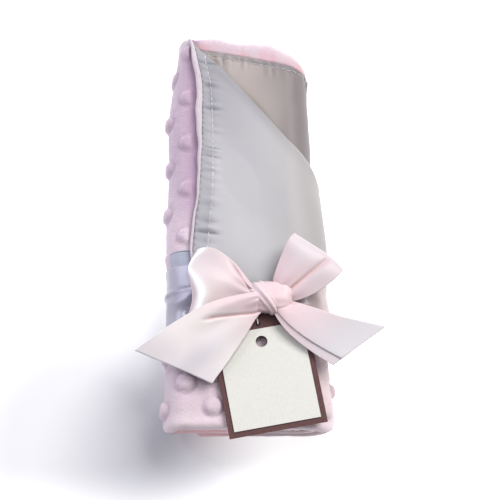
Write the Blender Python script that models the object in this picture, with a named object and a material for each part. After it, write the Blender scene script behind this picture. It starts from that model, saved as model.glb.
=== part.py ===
"""A comfort blanket for a baby, folded in half, rolled up and tied with a satin ribbon.

The blanket is one plush panel and one satin panel sewn together along the edges. It is folded
in half with the satin inside, the corner of the outer half is turned down so that the satin
shows, and it is rolled up. The ribbon holds the roll, and a hang tag hangs from its knot.
Metres, +Z up, +Y towards the open end of the roll, +X to the right. The roll lies on z = 0.
"""

import math

import bmesh
import bpy
import numpy as np
from mathutils import Vector

MM = 0.001
CLEAR = 0.3 * MM  # between pieces that touch on the real object

# The two cloths, flat
ROLLED_SIDE = 356 * MM
FOLDED_SIDE = 440 * MM
PLUSH = 2.15 * MM  # thickness of the pile, a little pressed
SATIN = 0.3 * MM
SEAM_INSET = 3.5 * MM  # the plush wraps the seam, so the satin stops short of the edge

# The roll
RUN = 53 * MM  # flat stretch between the two rounded sides
OUTER_RADIUS = 12.4 * MM  # right side, to the middle of the folded cloth
RUN_MIDDLE = -5.2 * MM  # the flat stretch lies this far from the middle of the object
HEIGHT_SHARES = (0.97, 0.95, 0.92, 0.88, 0.87, 0.88, 0.90, 0.93)  # from the foot to the open end
WIDTH_SHARES = (1.12, 1.11, 1.08, 1.05, 1.03, 1.0, 1.0, 1.0)
RIGHT_FACETS = 6
LEFT_FACETS = 5
TOP_FACETS = 2
FOOT_FACETS = 3

# The turned-down corner
CORNER_LEG = 143 * MM
CORNER_PAST = 2.5 * MM  # its hem lies this far round the left side
CORNER_SPACE = 0.35 * MM  # half the space between the plush faces inside the fold
CORNER_BEND = 2.4 * MM  # bend radius at the middle of the cloth
CORNER_FACETS = 3
FOOT_BEND = 1.5 * MM

# How the table presses the roll and the ribbon draws it in
PRESS_RAMP = 14 * MM
PRESS_STEP = 16 * MM
BAND_LIFT = 1.05 * MM
CROWN = 2.2 * MM  # how far the top arches over the middle of the roll
CROWN_REACH = 38 * MM
SKEW_SHARE = 0.19  # the roll is wound a little askew: its right side slides to the foot
SKEW_LENGTH = 125 * MM

# The ribbon
RIBBON_WIDTH = 38 * MM
RIBBON = 0.5 * MM
BAND_FROM_FOOT = 69.3 * MM  # middle of the band, on the left side
BAND_SPACE = 0.4 * MM
BAND_FACETS = 40
KNOT_SHARES = (0.526, 0.421, 0.289)  # length, width and height in ribbon widths
KNOT_RIGHT = 12 * MM  # right of the middle of the object
KNOT_DOWN = 3.3 * MM  # below the middle of the band
LOOP_THICKNESS = 12 * MM
LOOP_KNOT_SPACE = 2.6 * MM  # between the two strips where they enter the knot
LOOP_STEPS = 16
STRIP_STEPS = 4
TAIL_STEPS = 9
TAIL_ARCH = 1.6 * MM
TAIL_PLEAT = 0.8 * MM
TAIL_CLEAR = 1.2 * MM

# Places on the bow, in ribbon widths from the middle of the knot
LEFT_BASE_SHARES = ((-0.268, 0.16, 0.03), (-0.263, -0.02, 0.01))
LEFT_FAR_SHARES = ((-0.95, 0.62, 0.14), (-1.12, -0.20, 0.14))
RIGHT_BASE_SHARES = ((0.315, -0.01, 0.03), (0.155, 0.26, 0.05))
RIGHT_FAR_SHARES = ((0.99, 0.32, 0.17), (0.31, 0.83, 0.19))
# The edges of the tails, with heights from the top of the band
LEFT_TAIL_UPPER_SHARES = (
    (-0.265, -0.105, 0.25),
    (-0.63, -0.16, 0.33),
    (-0.96, -0.26, 0.31),
    (-1.42, -0.44, 0.17),
    (-1.87, -0.72, 0.0),
)
LEFT_TAIL_LOWER_SHARES = (
    (-0.135, -0.22, 0.16),
    (-0.24, -0.36, 0.16),
    (-0.34, -0.52, 0.15),
    (-0.62, -0.98, 0.14),
    (-0.80, -1.24, 0.12),
)
RIGHT_TAIL_UPPER_SHARES = (
    (0.28, -0.115, 0.21),
    (0.79, -0.27, 0.24),
    (1.22, -0.35, 0.19),
    (1.57, -0.40, 0.11),
)
RIGHT_TAIL_LOWER_SHARES = (
    (0.085, -0.245, 0.13),
    (0.14, -0.39, 0.13),
    (0.27, -0.58, 0.13),
    (0.49, -0.76, 0.13),
    (0.84, -0.99, 0.12),
)

# The label
LABEL_OUT = 12.5 * MM
LABEL_LENGTH = 28 * MM
LABEL = 0.4 * MM
LABEL_ABOVE_BAND = 7.7 * MM

# The hang tag
CARD = 0.4 * MM
CARD_ABOVE_BAND = 1.3 * MM  # room for the filament
BACKING_WIDTH = 51 * MM
CARD_MARGIN = 3 * MM
FRONT_LENGTH = 52 * MM
BACKING_TOP = 7.5 * MM  # how far the backing card stands above the front card
PUNCHED_HOLE = 6.2 * MM
PUNCHED_FROM_TOP = 7 * MM  # below the top edge of the front card
SMALL_HOLE = 2.4 * MM
SMALL_FROM_TOP = 4.8 * MM
TAG_TURN = math.radians(10.5)
TAG_LEFT = 6.7 * MM  # of the middle of the knot
TAG_DOWN = 14.3 * MM  # from the middle of the knot to the small hole
FILAMENT = 0.6 * MM
FILAMENT_REACH = 8.8 * MM
FILAMENT_LOOP = 1.8 * MM  # height of the flat loop of filament
FILAMENT_STEPS = 8  # points round each end of the loop
HOLE_FACETS = 16

# Sizes and places that follow from the sizes above
BACKING_LENGTH = CARD_MARGIN + FRONT_LENGTH + BACKING_TOP
KNOT_LENGTH, KNOT_WIDTH, KNOT_HEIGHT = (share * RIBBON_WIDTH for share in KNOT_SHARES)
PLY = SATIN / 2 + SATIN + CLEAR * 0.9 + PLUSH
PLUSH_LOW = PLY - PLUSH
PITCH = 2 * PLY + CLEAR
FOLD_CENTRE = PLY + CORNER_SPACE
FLAP_TOP = 2 * FOLD_CENTRE - SATIN / 2
LOWEST = OUTER_RADIUS + FLAP_TOP  # of the roll before it is pressed
HALF_SIDE = FOLDED_SIDE / 2
FOOT_TURN = FOOT_BEND * math.pi / 2
LENGTH = PLY + HALF_SIDE - FOOT_TURN
FOOT = -LENGTH / 2
FOOT_CENTRE = FOOT + PLY
HEAD = LENGTH / 2
RIGHT = RUN_MIDDLE + RUN / 2
LEFT = RUN_MIDDLE - RUN / 2
CORNER_U = ROLLED_SIDE - CORNER_LEG
CORNER_SHIFT = math.pi * CORNER_BEND / math.sqrt(2)
FREE_EDGE = 2 * RIGHT - LEFT + CORNER_PAST + math.pi * OUTER_RADIUS - CORNER_LEG
FLAP_FOOT = HEAD - CORNER_LEG + CORNER_SHIFT
BACK_CORNER = HEAD - CORNER_LEG + CORNER_SHIFT + RIGHT - FREE_EDGE
BAND = FOOT + BAND_FROM_FOOT
BAND_LOW = BAND - RIBBON_WIDTH / 2
BAND_HIGH = BAND + RIBBON_WIDTH / 2
FOOT_FLAT = (FOOT_CENTRE * 3 + BAND_LOW * 2) / 5
STATIONS = np.array(
    sorted(
        [
            FOOT_CENTRE,
            FOOT_FLAT,
            BAND_LOW,
            FLAP_FOOT,
            BAND_HIGH,
            BACK_CORNER,
            BACK_CORNER + PRESS_STEP,
            HEAD,
        ]
    )
)
PLUSH_LEVEL = FLAP_TOP - PLY
SATIN_LEVEL = FLAP_TOP + SATIN / 2


def material(name, rgb, roughness):
    made = bpy.data.materials.new(name)
    made.use_nodes = True
    shader = made.node_tree.nodes["Principled BSDF"]
    shader.inputs["Base Color"].default_value = (*rgb, 1)
    shader.inputs["Roughness"].default_value = roughness
    shader.inputs["Metallic"].default_value = 0
    return made


def add_object(name, points, faces, finish):
    mesh = bpy.data.meshes.new(name)
    mesh.from_pydata(np.asarray(points, float).tolist(), [], faces)
    mesh.update()
    mesh.shade_smooth()
    mesh.set_sharp_from_angle(angle=math.radians(50))
    made = bpy.data.objects.new(name, mesh)
    made.data.materials.append(finish)
    bpy.context.scene.collection.objects.link(made)
    return made


def turns():
    """The roll's path from the free edge inwards: (kind, length, radius) rows."""
    rows = []
    reach, radius, start = 0, OUTER_RADIUS, FREE_EDGE
    while reach < ROLLED_SIDE + RUN:
        side = radius - PITCH / 2
        rows += [("under", RIGHT - start, radius), ("right", math.pi * radius, radius)]
        rows += [("over", RUN, radius), ("left", math.pi * side, side)]
        reach = sum(row[1] for row in rows)
        start = LEFT
        radius -= PITCH
    return rows


def roll_lines():
    """Distances from the free edge at which the rolled cloth gets a line of points."""
    lines, at = [0], 0
    facets = {"under": 1, "over": TOP_FACETS, "right": RIGHT_FACETS, "left": LEFT_FACETS}
    for kind, length, _ in turns():
        count = facets[kind]
        lines += [at + length * (k + 1) / count for k in range(count)]
        at += length
    return [a for a in lines if a < ROLLED_SIDE]


def rolled(u, n):
    """(x, z) of cloth that lies u along the rolled side and n outside the middle of the fold."""
    a = ROLLED_SIDE - u
    x, z, at = np.zeros_like(u), np.zeros_like(u), 0
    for kind, length, radius in turns():
        here = (a >= at - CLEAR * CLEAR) | (at == 0)
        step = a - at
        if kind == "under":
            new = (RIGHT - length + step, -radius - n)
        elif kind == "over":
            new = (RIGHT - step, radius + n)
        elif kind == "right":
            turn = step / radius
            new = (RIGHT + (radius + n) * np.sin(turn), -(radius + n) * np.cos(turn))
        else:
            turn = step / radius
            new = (
                LEFT - (radius + n) * np.sin(turn),
                PITCH / 2 + (radius + n) * np.cos(turn),
            )
        x, z = np.where(here, new[0], x), np.where(here, new[1], z)
        at += length
    return x, z


def pressed(x, y, z):
    """The roll as it lies: flat under its own weight, drawn in by the ribbon, wider at the foot."""
    level = np.where(y < FLAP_FOOT, PLUSH_LEVEL, 0.0)
    level *= np.clip((FLAP_FOOT - y) / (FLAP_FOOT - BAND_LOW), 0, 1)
    level += SATIN_LEVEL * np.clip((y - BACK_CORNER) / PRESS_STEP, 0, 1)
    inner = PLUSH_LEVEL + PITCH
    level += (inner - level) * np.clip((LEFT - x) / PRESS_RAMP, 0, 1)
    height = 2 * LOWEST
    z = (z + LOWEST - level) * height / (height - level)
    wide = np.interp(y, STATIONS, WIDTH_SHARES)
    x = np.where(x > LEFT, LEFT + (x - LEFT) * wide, x)
    lift = np.interp(y, [FOOT_FLAT, BAND_LOW, BAND_HIGH, BACK_CORNER], [0, BAND_LIFT, BAND_LIFT, 0])
    z = z * np.interp(y, STATIONS, HEIGHT_SHARES)
    aside = np.clip((x - RUN_MIDDLE) / CROWN_REACH, -1, 1)
    crown = CROWN * (1 - aside**2) * z / height
    return np.stack([x, y, z + crown + lift], -1)


def folded(u, v, t):
    """The place of cloth at u along the rolled side and v across the fold at the foot, t from the
    satin face: folded in half, its corner turned down, rolled and pressed."""
    side, past = np.sign(v), np.abs(v) - FOOT_TURN
    turn = np.clip(v / FOOT_BEND, -math.pi / 2, math.pi / 2)
    y = np.where(past > 0, FOOT_CENTRE + past, FOOT_CENTRE - t * np.cos(turn))
    n = np.where(past > 0, side * t, t * np.sin(turn))
    d = ((u - CORNER_U) + (y - HEAD)) / math.sqrt(2)
    d = np.where((v > 0) & (d > 0), d, 0)
    angle = np.clip(d / CORNER_BEND, 0, math.pi)
    arm = FOLD_CENTRE - t
    back = arm * np.sin(angle) - d - np.maximum(d - math.pi * CORNER_BEND, 0)
    n = np.where(d > 0, FOLD_CENTRE - arm * np.cos(angle), n)
    u, y = u + back / math.sqrt(2), y + back / math.sqrt(2)
    x, z = rolled(u, n)
    return pressed(x, y, z)


def cut(mesh, chosen, place, normal):
    faces = [f for f in mesh.faces if chosen(*f.calc_center_median().to_2d())]
    parts = set(faces) | {e for f in faces for e in f.edges} | {v for f in faces for v in f.verts}
    bmesh.ops.bisect_plane(
        mesh, geom=list(parts), dist=CLEAR * CLEAR, plane_co=(*place, 0), plane_no=(*normal, 0)
    )


def past_fold(u, v):
    """How far a flat point lies past the line that the corner is turned down on."""
    return ((u - CORNER_U) + (v - HALF_SIDE)) / math.sqrt(2) if v > 0 else -1


def panel(name, inset, low, high, finish):
    """One cloth: its flat rectangle, cut along every line where it bends, then folded and rolled."""
    mesh = bmesh.new()
    low_u, high_u, top = inset, ROLLED_SIDE - inset, HALF_SIDE - inset
    corners = [(low_u, -top), (high_u, -top), (high_u, top), (low_u, top)]
    mesh.faces.new([mesh.verts.new((*c, 0)) for c in corners])
    bend = math.pi * CORNER_BEND
    rows = [FOOT_TURN + y - FOOT_CENTRE for y in STATIONS[:-1]]
    turned = [FOOT_TURN * (2 * k / FOOT_FACETS - 1) for k in range(1, FOOT_FACETS)]
    for v in rows + turned + [-r for r in rows]:
        cut(mesh, lambda a, b: True, (0, v), (0, 1))
    for k in range(CORNER_FACETS + 1):
        step = bend * k / CORNER_FACETS / math.sqrt(2)
        cut(mesh, lambda a, b: b > 0, (CORNER_U + step, HALF_SIDE + step), (1, 1))
    for a in roll_lines():
        u = ROLLED_SIDE - a
        cut(mesh, lambda p, q: past_fold(p, q) < bend, (u, 0), (1, 0))
        v = HALF_SIDE + CORNER_SHIFT - (u - CORNER_U)
        cut(mesh, lambda p, q: past_fold(p, q) > bend, (0, v), (0, 1))
    for y in STATIONS[:-1]:
        u = CORNER_U + HEAD + CORNER_SHIFT - y
        cut(mesh, lambda p, q: past_fold(p, q) > bend, (u, 0), (1, 0))
    bmesh.ops.triangulate(mesh, faces=mesh.faces)
    mesh.verts.index_update()
    flat = np.array([v.co[:] for v in mesh.verts])
    faces = [[v.index for v in f.verts] for f in mesh.faces]
    loops = [e.link_loops[0] for e in mesh.edges if e.is_boundary]
    rim = [(loop.vert.index, loop.link_loop_next.vert.index) for loop in loops]
    mesh.free()
    under = folded(flat[:, 0], flat[:, 1], np.full(len(flat), low))
    over = folded(flat[:, 0], flat[:, 1], np.full(len(flat), high))
    count = len(flat)
    solid = [f[::-1] for f in faces] + [[i + count for i in f] for f in faces]
    solid += [[a, b, b + count, a + count] for a, b in rim]
    return add_object(name, np.concatenate([under, over]), solid, finish)


def grid_faces(rows, columns):
    """The faces of a grid of points in rows, and the outline of its edge, in order."""
    at = np.arange(rows * columns).reshape(rows, columns)
    quads = np.stack([at[:-1, :-1], at[1:, :-1], at[1:, 1:], at[:-1, 1:]], -1).reshape(-1, 4)
    edge = np.concatenate([at[:-1, 0], at[-1, :-1], at[:0:-1, -1], at[0, :0:-1]])
    return quads, edge


def thick_strip(name, points, thickness, finish):
    """A closed strip round a grid of points of shape (rows, columns, 3)."""
    along, across = np.gradient(points, axis=0), np.gradient(points, axis=1)
    normal = np.cross(along, across)
    normal /= np.linalg.norm(normal, axis=-1, keepdims=True)
    rows, columns = points.shape[:2]
    quads, edge = grid_faces(rows, columns)
    count = rows * columns
    solid = (quads + count).tolist() + quads[:, ::-1].tolist()
    after = np.roll(edge, -1)
    solid += np.stack([edge, after, after + count, edge + count], -1).tolist()
    low, high = points - normal * thickness / 2, points + normal * thickness / 2
    return add_object(name, np.concatenate([low.reshape(-1, 3), high.reshape(-1, 3)]), solid, finish)


def smooth_path(points, count):
    """Points at even steps along the smooth curve through a few given ones."""
    points = np.array(points, float)
    ends = np.concatenate([[2 * points[0] - points[1]], points, [2 * points[-1] - points[-2]]])
    s = np.linspace(0, len(points) - 1, count)
    k = np.minimum(s.astype(int), len(points) - 2)
    f = (s - k)[:, None]
    a, b, c, d = ends[k], ends[k + 1], ends[k + 2], ends[k + 3]
    square, cube = a - 2.5 * b + 2 * c - d / 2, 1.5 * b - a / 2 - 1.5 * c + d / 2
    return b + f * (c - a) / 2 + f**2 * square + f**3 * cube


def top_of_roll(x, y):
    """How high the outside of the roll lies over a place, nothing beyond its sides."""
    wide = np.interp(y, STATIONS, WIDTH_SHARES)
    flat = np.where(x > LEFT, LEFT + (x - LEFT) / wide, x)
    n = np.where((y > FLAP_FOOT) & (flat > LEFT - CORNER_PAST), FLAP_TOP, PLY)
    right, left = OUTER_RADIUS + n, OUTER_RADIUS - PITCH / 2 + n
    past = np.maximum(flat - RIGHT, 0) / right + np.maximum(LEFT - flat, 0) / left
    arch = np.sqrt(np.maximum(1 - past**2, 0))
    z = np.where(flat < LEFT, PITCH / 2 + left * arch, right * arch)
    return np.where(past < 1, pressed(flat, y, z)[..., 2], 0)


def minky_panel():
    return panel("minky_panel", 0, PLUSH_LOW, PLY, material("pink_minky", (0.66, 0.5, 0.6), 0.95))


def satin_panel():
    low = SATIN / 2
    finish = material("grey_satin", (0.55, 0.54, 0.57), 0.35)
    return panel("satin_panel", SEAM_INSET, low, low + SATIN, finish)


def woven_label():
    """A bare woven label, sewn into the seam of the turned-down corner and lying on the plush."""
    edge = CORNER_U + CORNER_SHIFT - CLEAR
    us = np.linspace(edge - LABEL_OUT, edge, STRIP_STEPS + 1)
    top = BAND_HIGH + LABEL_ABOVE_BAND
    inside = [y for y in STATIONS if top - LABEL_LENGTH < y < top]
    ys = [top - LABEL_LENGTH, *inside, top]
    u, y = (a.T for a in np.meshgrid(us, ys))
    middle = PLY + CLEAR + LABEL / 2
    x, z = rolled(u, np.full(u.shape, middle))
    finish = material("label_satin", (0.42, 0.45, 0.54), 0.4)
    return thick_strip("woven_label", pressed(x, y, z), LABEL, finish)


def ribbon_band(wrapped, finish):
    """The ribbon round the roll: a tight loop round the points of what it goes round."""
    points = np.concatenate([[v.co[:] for v in o.data.vertices] for o in wrapped])
    turn = np.linspace(0, 2 * math.pi, BAND_FACETS, endpoint=False)
    facing = np.stack([np.cos(turn), np.sin(turn)])
    stops = [BAND_LOW, *[y for y in STATIONS if BAND_LOW + CLEAR < y < BAND_HIGH - CLEAR], BAND_HIGH]
    rings = []
    for k, y in enumerate(stops):
        low = stops[k - 1] + CLEAR if k else y - CLEAR
        high = stops[k + 1] - CLEAR if k + 1 < len(stops) else y + CLEAR
        near = points[(points[:, 1] > low) & (points[:, 1] < high)][:, [0, 2]]
        reach = (near @ facing).max(0) + BAND_SPACE
        rings.append([band_ring(turn, reach + extra, y) for extra in (0, RIBBON)])
    rings = np.array(rings)
    count, stages = BAND_FACETS, len(stops)
    at = np.arange(rings[..., 0].size).reshape(stages, 2, count)
    after = np.roll(at, -1, axis=2)
    walls = []
    for side in (0, 1):
        quads = np.stack([at[:-1, side], at[1:, side], after[1:, side], after[:-1, side]], -1)
        quads = quads.reshape(-1, 4)
        walls += (quads if side else quads[:, ::-1]).tolist()
    for end in (0, -1):
        quads = np.stack([at[end, 0], at[end, 1], after[end, 1], after[end, 0]], -1)
        walls += (quads[:, ::-1] if end else quads).tolist()
    return add_object("ribbon_band", rings.reshape(-1, 3), walls, finish)


def band_ring(turn, reach, y):
    """The corners of the polygon whose sides face the given ways at the given distances."""
    after, wider = np.roll(turn, -1), np.roll(reach, -1)
    bend = np.sin(after - turn)
    x = (reach * np.sin(after) - wider * np.sin(turn)) / bend
    z = (wider * np.cos(turn) - reach * np.cos(after)) / bend
    return np.stack([x, np.full(len(x), y), z], -1)


def top_of_band(band, y):
    """How high the top of the band lies at a distance along the roll."""
    stops = sorted({round(v.co.y, 6) for v in band.data.vertices})
    tops = [max(v.co.z for v in band.data.vertices if abs(v.co.y - stop) < CLEAR) for stop in stops]
    return float(np.interp(y, stops, tops))


def knot_middle(seat):
    return np.array([KNOT_RIGHT, BAND - KNOT_DOWN, seat + CLEAR + KNOT_HEIGHT / 2])


def ribbon_knot(seat, finish):
    """The tied middle of the bow: a plump roll of ribbon with a slanting turn round it."""
    rows, columns = 9, 18
    up = np.linspace(-math.pi / 2, math.pi / 2, rows)[:, None]
    round_it = np.linspace(0, 2 * math.pi, columns, endpoint=False)[None, :]
    squared = 0.7
    side = np.cos(up) ** squared
    x = side * np.sign(np.cos(round_it)) * np.abs(np.cos(round_it)) ** squared
    y = side * np.sign(np.sin(round_it)) * np.abs(np.sin(round_it)) ** squared
    z = np.sin(up) + 0 * round_it
    slant_share, waist_share = 0.35, 0.12
    turn_of_ribbon = 1 - waist_share * np.cos(2 * math.pi * (x + slant_share * y)) ** 2
    half = np.array([KNOT_LENGTH, KNOT_WIDTH, KNOT_HEIGHT]) / 2
    points = np.stack([x * turn_of_ribbon, y * turn_of_ribbon, z], -1) * half + knot_middle(seat)
    inner = points[1:-1].reshape(-1, 3)
    at = np.arange(len(inner)).reshape(rows - 2, columns)
    after = np.roll(at, -1, axis=1)
    faces = np.stack([at[:-1], after[:-1], after[1:], at[1:]], -1).reshape(-1, 4).tolist()
    low, high = len(inner), len(inner) + 1
    faces += [[low, b, a] for a, b in zip(at[0].tolist(), after[0].tolist())]
    faces += [[high, a, b] for a, b in zip(at[-1].tolist(), after[-1].tolist())]
    ends = [points[0, 0], points[-1, 0]]
    return add_object("ribbon_knot", np.concatenate([inner, ends]), faces, finish)


def bow_loop(name, base_shares, far_shares, seat, finish):
    """A loop of ribbon: out from the knot, round and back, gathered where it enters the knot."""
    centre = knot_middle(seat)
    base = centre + np.array(base_shares) * RIBBON_WIDTH
    far = centre + np.array(far_shares) * RIBBON_WIDTH
    phase = np.linspace(0, 1, LOOP_STEPS + 1)[:, None]
    across = np.linspace(-1, 1, STRIP_STEPS + 1)[None, :]
    reach = np.sin(math.pi * phase) ** 0.9
    spread = np.sin(math.pi * phase) ** 0.55
    middle = base.mean(0) + (far.mean(0) - base.mean(0)) * reach[..., None]
    side_base, side_far = (base[1] - base[0]) / 2, (far[1] - far[0]) / 2
    side = side_base + (side_far - side_base) * spread[..., None]
    points = middle + side * across[..., None]
    height = LOOP_THICKNESS / 2 * np.sin(2 * math.pi * phase)
    height = height + LOOP_KNOT_SPACE / 2 * np.cos(math.pi * phase) + 0 * across
    pleat = LOOP_KNOT_SPACE / 5 * np.cos(2 * math.pi * across) * (1 - spread)
    points[..., 2] += height + pleat * np.where(phase < 0.5, 1, -1)
    return thick_strip(name, points, RIBBON, finish)


def bow_tail(name, upper_shares, lower_shares, seat, finish):
    """A tail of ribbon: it spreads from the knot, lies over the roll and droops past its side."""
    centre = knot_middle(seat)
    centre[2] = seat
    upper = smooth_path(np.array(upper_shares) * RIBBON_WIDTH + centre, TAIL_STEPS + 1)
    lower = smooth_path(np.array(lower_shares) * RIBBON_WIDTH + centre, TAIL_STEPS + 1)
    across = np.linspace(0, 1, STRIP_STEPS + 1)[None, :, None]
    points = upper[:, None] * (1 - across) + lower[:, None] * across
    along = np.linspace(0, 1, TAIL_STEPS + 1)[:, None]
    arch = np.sin(math.pi * across[..., 0])
    points[..., 2] += TAIL_ARCH * arch + TAIL_PLEAT * np.cos(4 * math.pi * across[..., 0]) * (1 - along)
    rest = top_of_roll(points[..., 0], points[..., 1]) + TAIL_CLEAR
    points[..., 2] = np.maximum(points[..., 2], rest)
    return thick_strip(name, points, RIBBON, finish)


def rectangle(half_width, low, high):
    return [(-half_width, low), (half_width, low), (half_width, high), (-half_width, high)]


def hole_outline(place, size):
    turn = np.linspace(0, 2 * math.pi, HOLE_FACETS, endpoint=False)
    return [(place[0] + size / 2 * math.cos(a), place[1] + size / 2 * math.sin(a)) for a in turn]


def card(name, outline, holes, low, place, finish):
    """A flat card with punched holes, its small hole at the origin of its own plane."""
    data = bpy.data.curves.new(name, "CURVE")
    data.dimensions = "2D"
    data.fill_mode = "BOTH"
    data.extrude = CARD / 2
    for ring in [outline, *holes]:
        spline = data.splines.new("POLY")
        spline.points.add(len(ring) - 1)
        spline.use_cyclic_u = True
        for point, (x, y) in zip(spline.points, ring):
            point.co = (x, y, 0, 1)
    made = bpy.data.objects.new(name, data)
    data.materials.append(finish)
    made.location = (place[0], place[1], low + CARD / 2)
    made.rotation_euler = (0, 0, TAG_TURN)
    bpy.context.scene.collection.objects.link(made)
    return made


def tag_place(seat):
    middle = knot_middle(seat)
    return middle[0] - TAG_LEFT, middle[1] - TAG_DOWN, seat + CARD_ABOVE_BAND


def hang_tag(seat):
    """The brown backing card with its small hole, and the cream card in front of it."""
    x, y, low = tag_place(seat)
    half, top = BACKING_WIDTH / 2, SMALL_FROM_TOP
    bottom = top - BACKING_LENGTH
    outline = rectangle(half, bottom, top)
    front_bottom, front_half = bottom + CARD_MARGIN, half - CARD_MARGIN
    front_top = front_bottom + FRONT_LENGTH
    punched = hole_outline((0, front_top - PUNCHED_FROM_TOP), PUNCHED_HOLE)
    small = hole_outline((0, 0), SMALL_HOLE)
    brown = material("brown_card", (0.13, 0.06, 0.065), 0.7)
    cream = material("cream_card", (0.88, 0.87, 0.83), 0.6)
    card("tag_backing_card", outline, [punched, small], low, (x, y), brown)
    front = rectangle(front_half, front_bottom, front_top)
    card("tag_front_card", front, [punched], low + CARD + CLEAR, (x, y), cream)


def tag_fastener(seat):
    """A flat loop of clear filament through the small hole, up to the foot of the knot."""
    x, y, low = tag_place(seat)
    data = bpy.data.curves.new("tag_fastener", "CURVE")
    data.dimensions = "3D"
    data.bevel_depth = FILAMENT / 2
    data.bevel_resolution = 1
    spline = data.splines.new("POLY")
    spline.points.add(2 * FILAMENT_STEPS - 1)
    spline.use_cyclic_u = True
    radius = FILAMENT_LOOP / 2
    for k, point in enumerate(spline.points):
        far = k < FILAMENT_STEPS
        angle = math.pi * ((k % FILAMENT_STEPS) / (FILAMENT_STEPS - 1) + (-0.5 if far else 0.5))
        centre = 0 if far else 2 * radius - FILAMENT_REACH
        point.co = (0, centre + radius * math.cos(angle), radius * math.sin(angle), 1)
    made = bpy.data.objects.new("tag_fastener", data)
    data.materials.append(material("clear_filament", (0.85, 0.87, 0.9), 0.15))
    reach = FILAMENT_REACH - radius
    made.location = (x - reach * math.sin(TAG_TURN), y + reach * math.cos(TAG_TURN), low + CARD / 2)
    made.rotation_euler = (0, 0, TAG_TURN)
    bpy.context.scene.collection.objects.link(made)


def wind_askew(wound):
    """Slides what is wound round the roll to the foot, more so to the right and from the foot up."""
    for made in wound:
        for vertex in made.data.vertices:
            x, y, _ = vertex.co
            rise = min(max((y - FOOT) / SKEW_LENGTH, 0), 1)
            vertex.co.y -= SKEW_SHARE * rise * max(x - LEFT, 0)
        made.data.update()


def centre_all():
    """Moves everything alike, so that the origin is under the middle of the object."""
    bpy.context.view_layer.update()
    made = list(bpy.context.scene.objects)
    corners = np.array([[o.matrix_world @ Vector(c) for c in o.bound_box] for o in made])
    middle = (corners.min((0, 1)) + corners.max((0, 1))) / 2
    for o in made:
        o.location.x -= middle[0]
        o.location.y -= middle[1]


def build():
    for old in list(bpy.data.objects):
        bpy.data.objects.remove(old, do_unlink=True)
    wrapped = [minky_panel(), satin_panel(), woven_label()]
    ribbon = material("pale_pink_ribbon", (0.85, 0.71, 0.74), 0.3)
    band = ribbon_band(wrapped, ribbon)
    seat = top_of_band(band, BAND - KNOT_DOWN)
    ribbon_knot(seat, ribbon)
    bow_loop("bow_loop_left", LEFT_BASE_SHARES, LEFT_FAR_SHARES, seat, ribbon)
    bow_loop("bow_loop_right", RIGHT_BASE_SHARES, RIGHT_FAR_SHARES, seat, ribbon)
    bow_tail("bow_tail_left", LEFT_TAIL_UPPER_SHARES, LEFT_TAIL_LOWER_SHARES, seat, ribbon)
    bow_tail("bow_tail_right", RIGHT_TAIL_UPPER_SHARES, RIGHT_TAIL_LOWER_SHARES, seat, ribbon)
    hang_tag(seat)
    tag_fastener(seat)
    wind_askew([*wrapped, band])
    centre_all()


build()
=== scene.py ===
"""The comfort blanket as it is sold: plush and satin, folded, rolled and tied with a ribbon."""

import math

import bpy
import numpy as np
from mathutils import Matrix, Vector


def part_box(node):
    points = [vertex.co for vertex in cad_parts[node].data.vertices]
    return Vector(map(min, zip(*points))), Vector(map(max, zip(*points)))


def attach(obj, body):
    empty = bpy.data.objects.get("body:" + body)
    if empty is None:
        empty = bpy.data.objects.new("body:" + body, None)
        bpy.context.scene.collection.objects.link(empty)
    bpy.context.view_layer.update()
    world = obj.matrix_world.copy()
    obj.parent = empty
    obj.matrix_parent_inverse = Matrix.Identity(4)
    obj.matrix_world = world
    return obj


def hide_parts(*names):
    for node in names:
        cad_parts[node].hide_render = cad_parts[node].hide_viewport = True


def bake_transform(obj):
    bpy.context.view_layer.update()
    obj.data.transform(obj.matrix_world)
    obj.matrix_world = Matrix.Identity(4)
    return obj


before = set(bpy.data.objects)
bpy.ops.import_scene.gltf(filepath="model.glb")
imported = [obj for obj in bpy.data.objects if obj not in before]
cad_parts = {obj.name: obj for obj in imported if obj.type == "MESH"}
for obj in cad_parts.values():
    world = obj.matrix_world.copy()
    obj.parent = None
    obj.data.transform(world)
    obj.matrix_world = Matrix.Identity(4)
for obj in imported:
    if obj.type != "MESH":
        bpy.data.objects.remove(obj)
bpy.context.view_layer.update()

# The shape that both cloths share.
# The blanket is folded in half at its foot with the satin inside, the corner of the outer half is
# turned down, and it is rolled in two turns, pressed flat by its weight and drawn in by the ribbon.
MM = 0.001
ROLLED_SIDE = 356 * MM
FOLDED_SIDE = 440 * MM
SATIN = 0.3 * MM
PLUSH = 2.15 * MM
PLUSH_LOW = 0.72 * MM  # from the middle of the fold to the plush's knitted back
PLY = PLUSH_LOW + PLUSH
PITCH = 2 * PLY + 0.3 * MM
RUN = 53 * MM  # the flat stretch between the two rounded sides
RUN_MIDDLE = -11.5 * MM
OUTER_RADIUS = 12.4 * MM
FOOT_BEND = 1.5 * MM
CORNER_LEG = 143 * MM
CORNER_BEND = 2.4 * MM
FOLD_CENTRE = PLY + 0.35 * MM
FLAP_TOP = 2 * FOLD_CENTRE - SATIN / 2
LOWEST = OUTER_RADIUS + FLAP_TOP
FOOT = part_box("minky_panel")[0][1]
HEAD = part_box("minky_panel")[1][1]
FOOT_CENTRE = FOOT + PLY
FOOT_TURN = FOOT_BEND * math.pi / 2
LEFT = RUN_MIDDLE - RUN / 2
RIGHT = RUN_MIDDLE + RUN / 2
CORNER_U = ROLLED_SIDE - CORNER_LEG
CORNER_SHIFT = math.pi * CORNER_BEND / math.sqrt(2)
FREE_EDGE = 2 * RIGHT - LEFT + 2.5 * MM + math.pi * OUTER_RADIUS - CORNER_LEG
BACK_CORNER = HEAD - CORNER_LEG + CORNER_SHIFT + RIGHT - FREE_EDGE
FLAP_DRAWN = 13 * MM  # the bow's pull stretches the turned-down corner under the band
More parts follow.
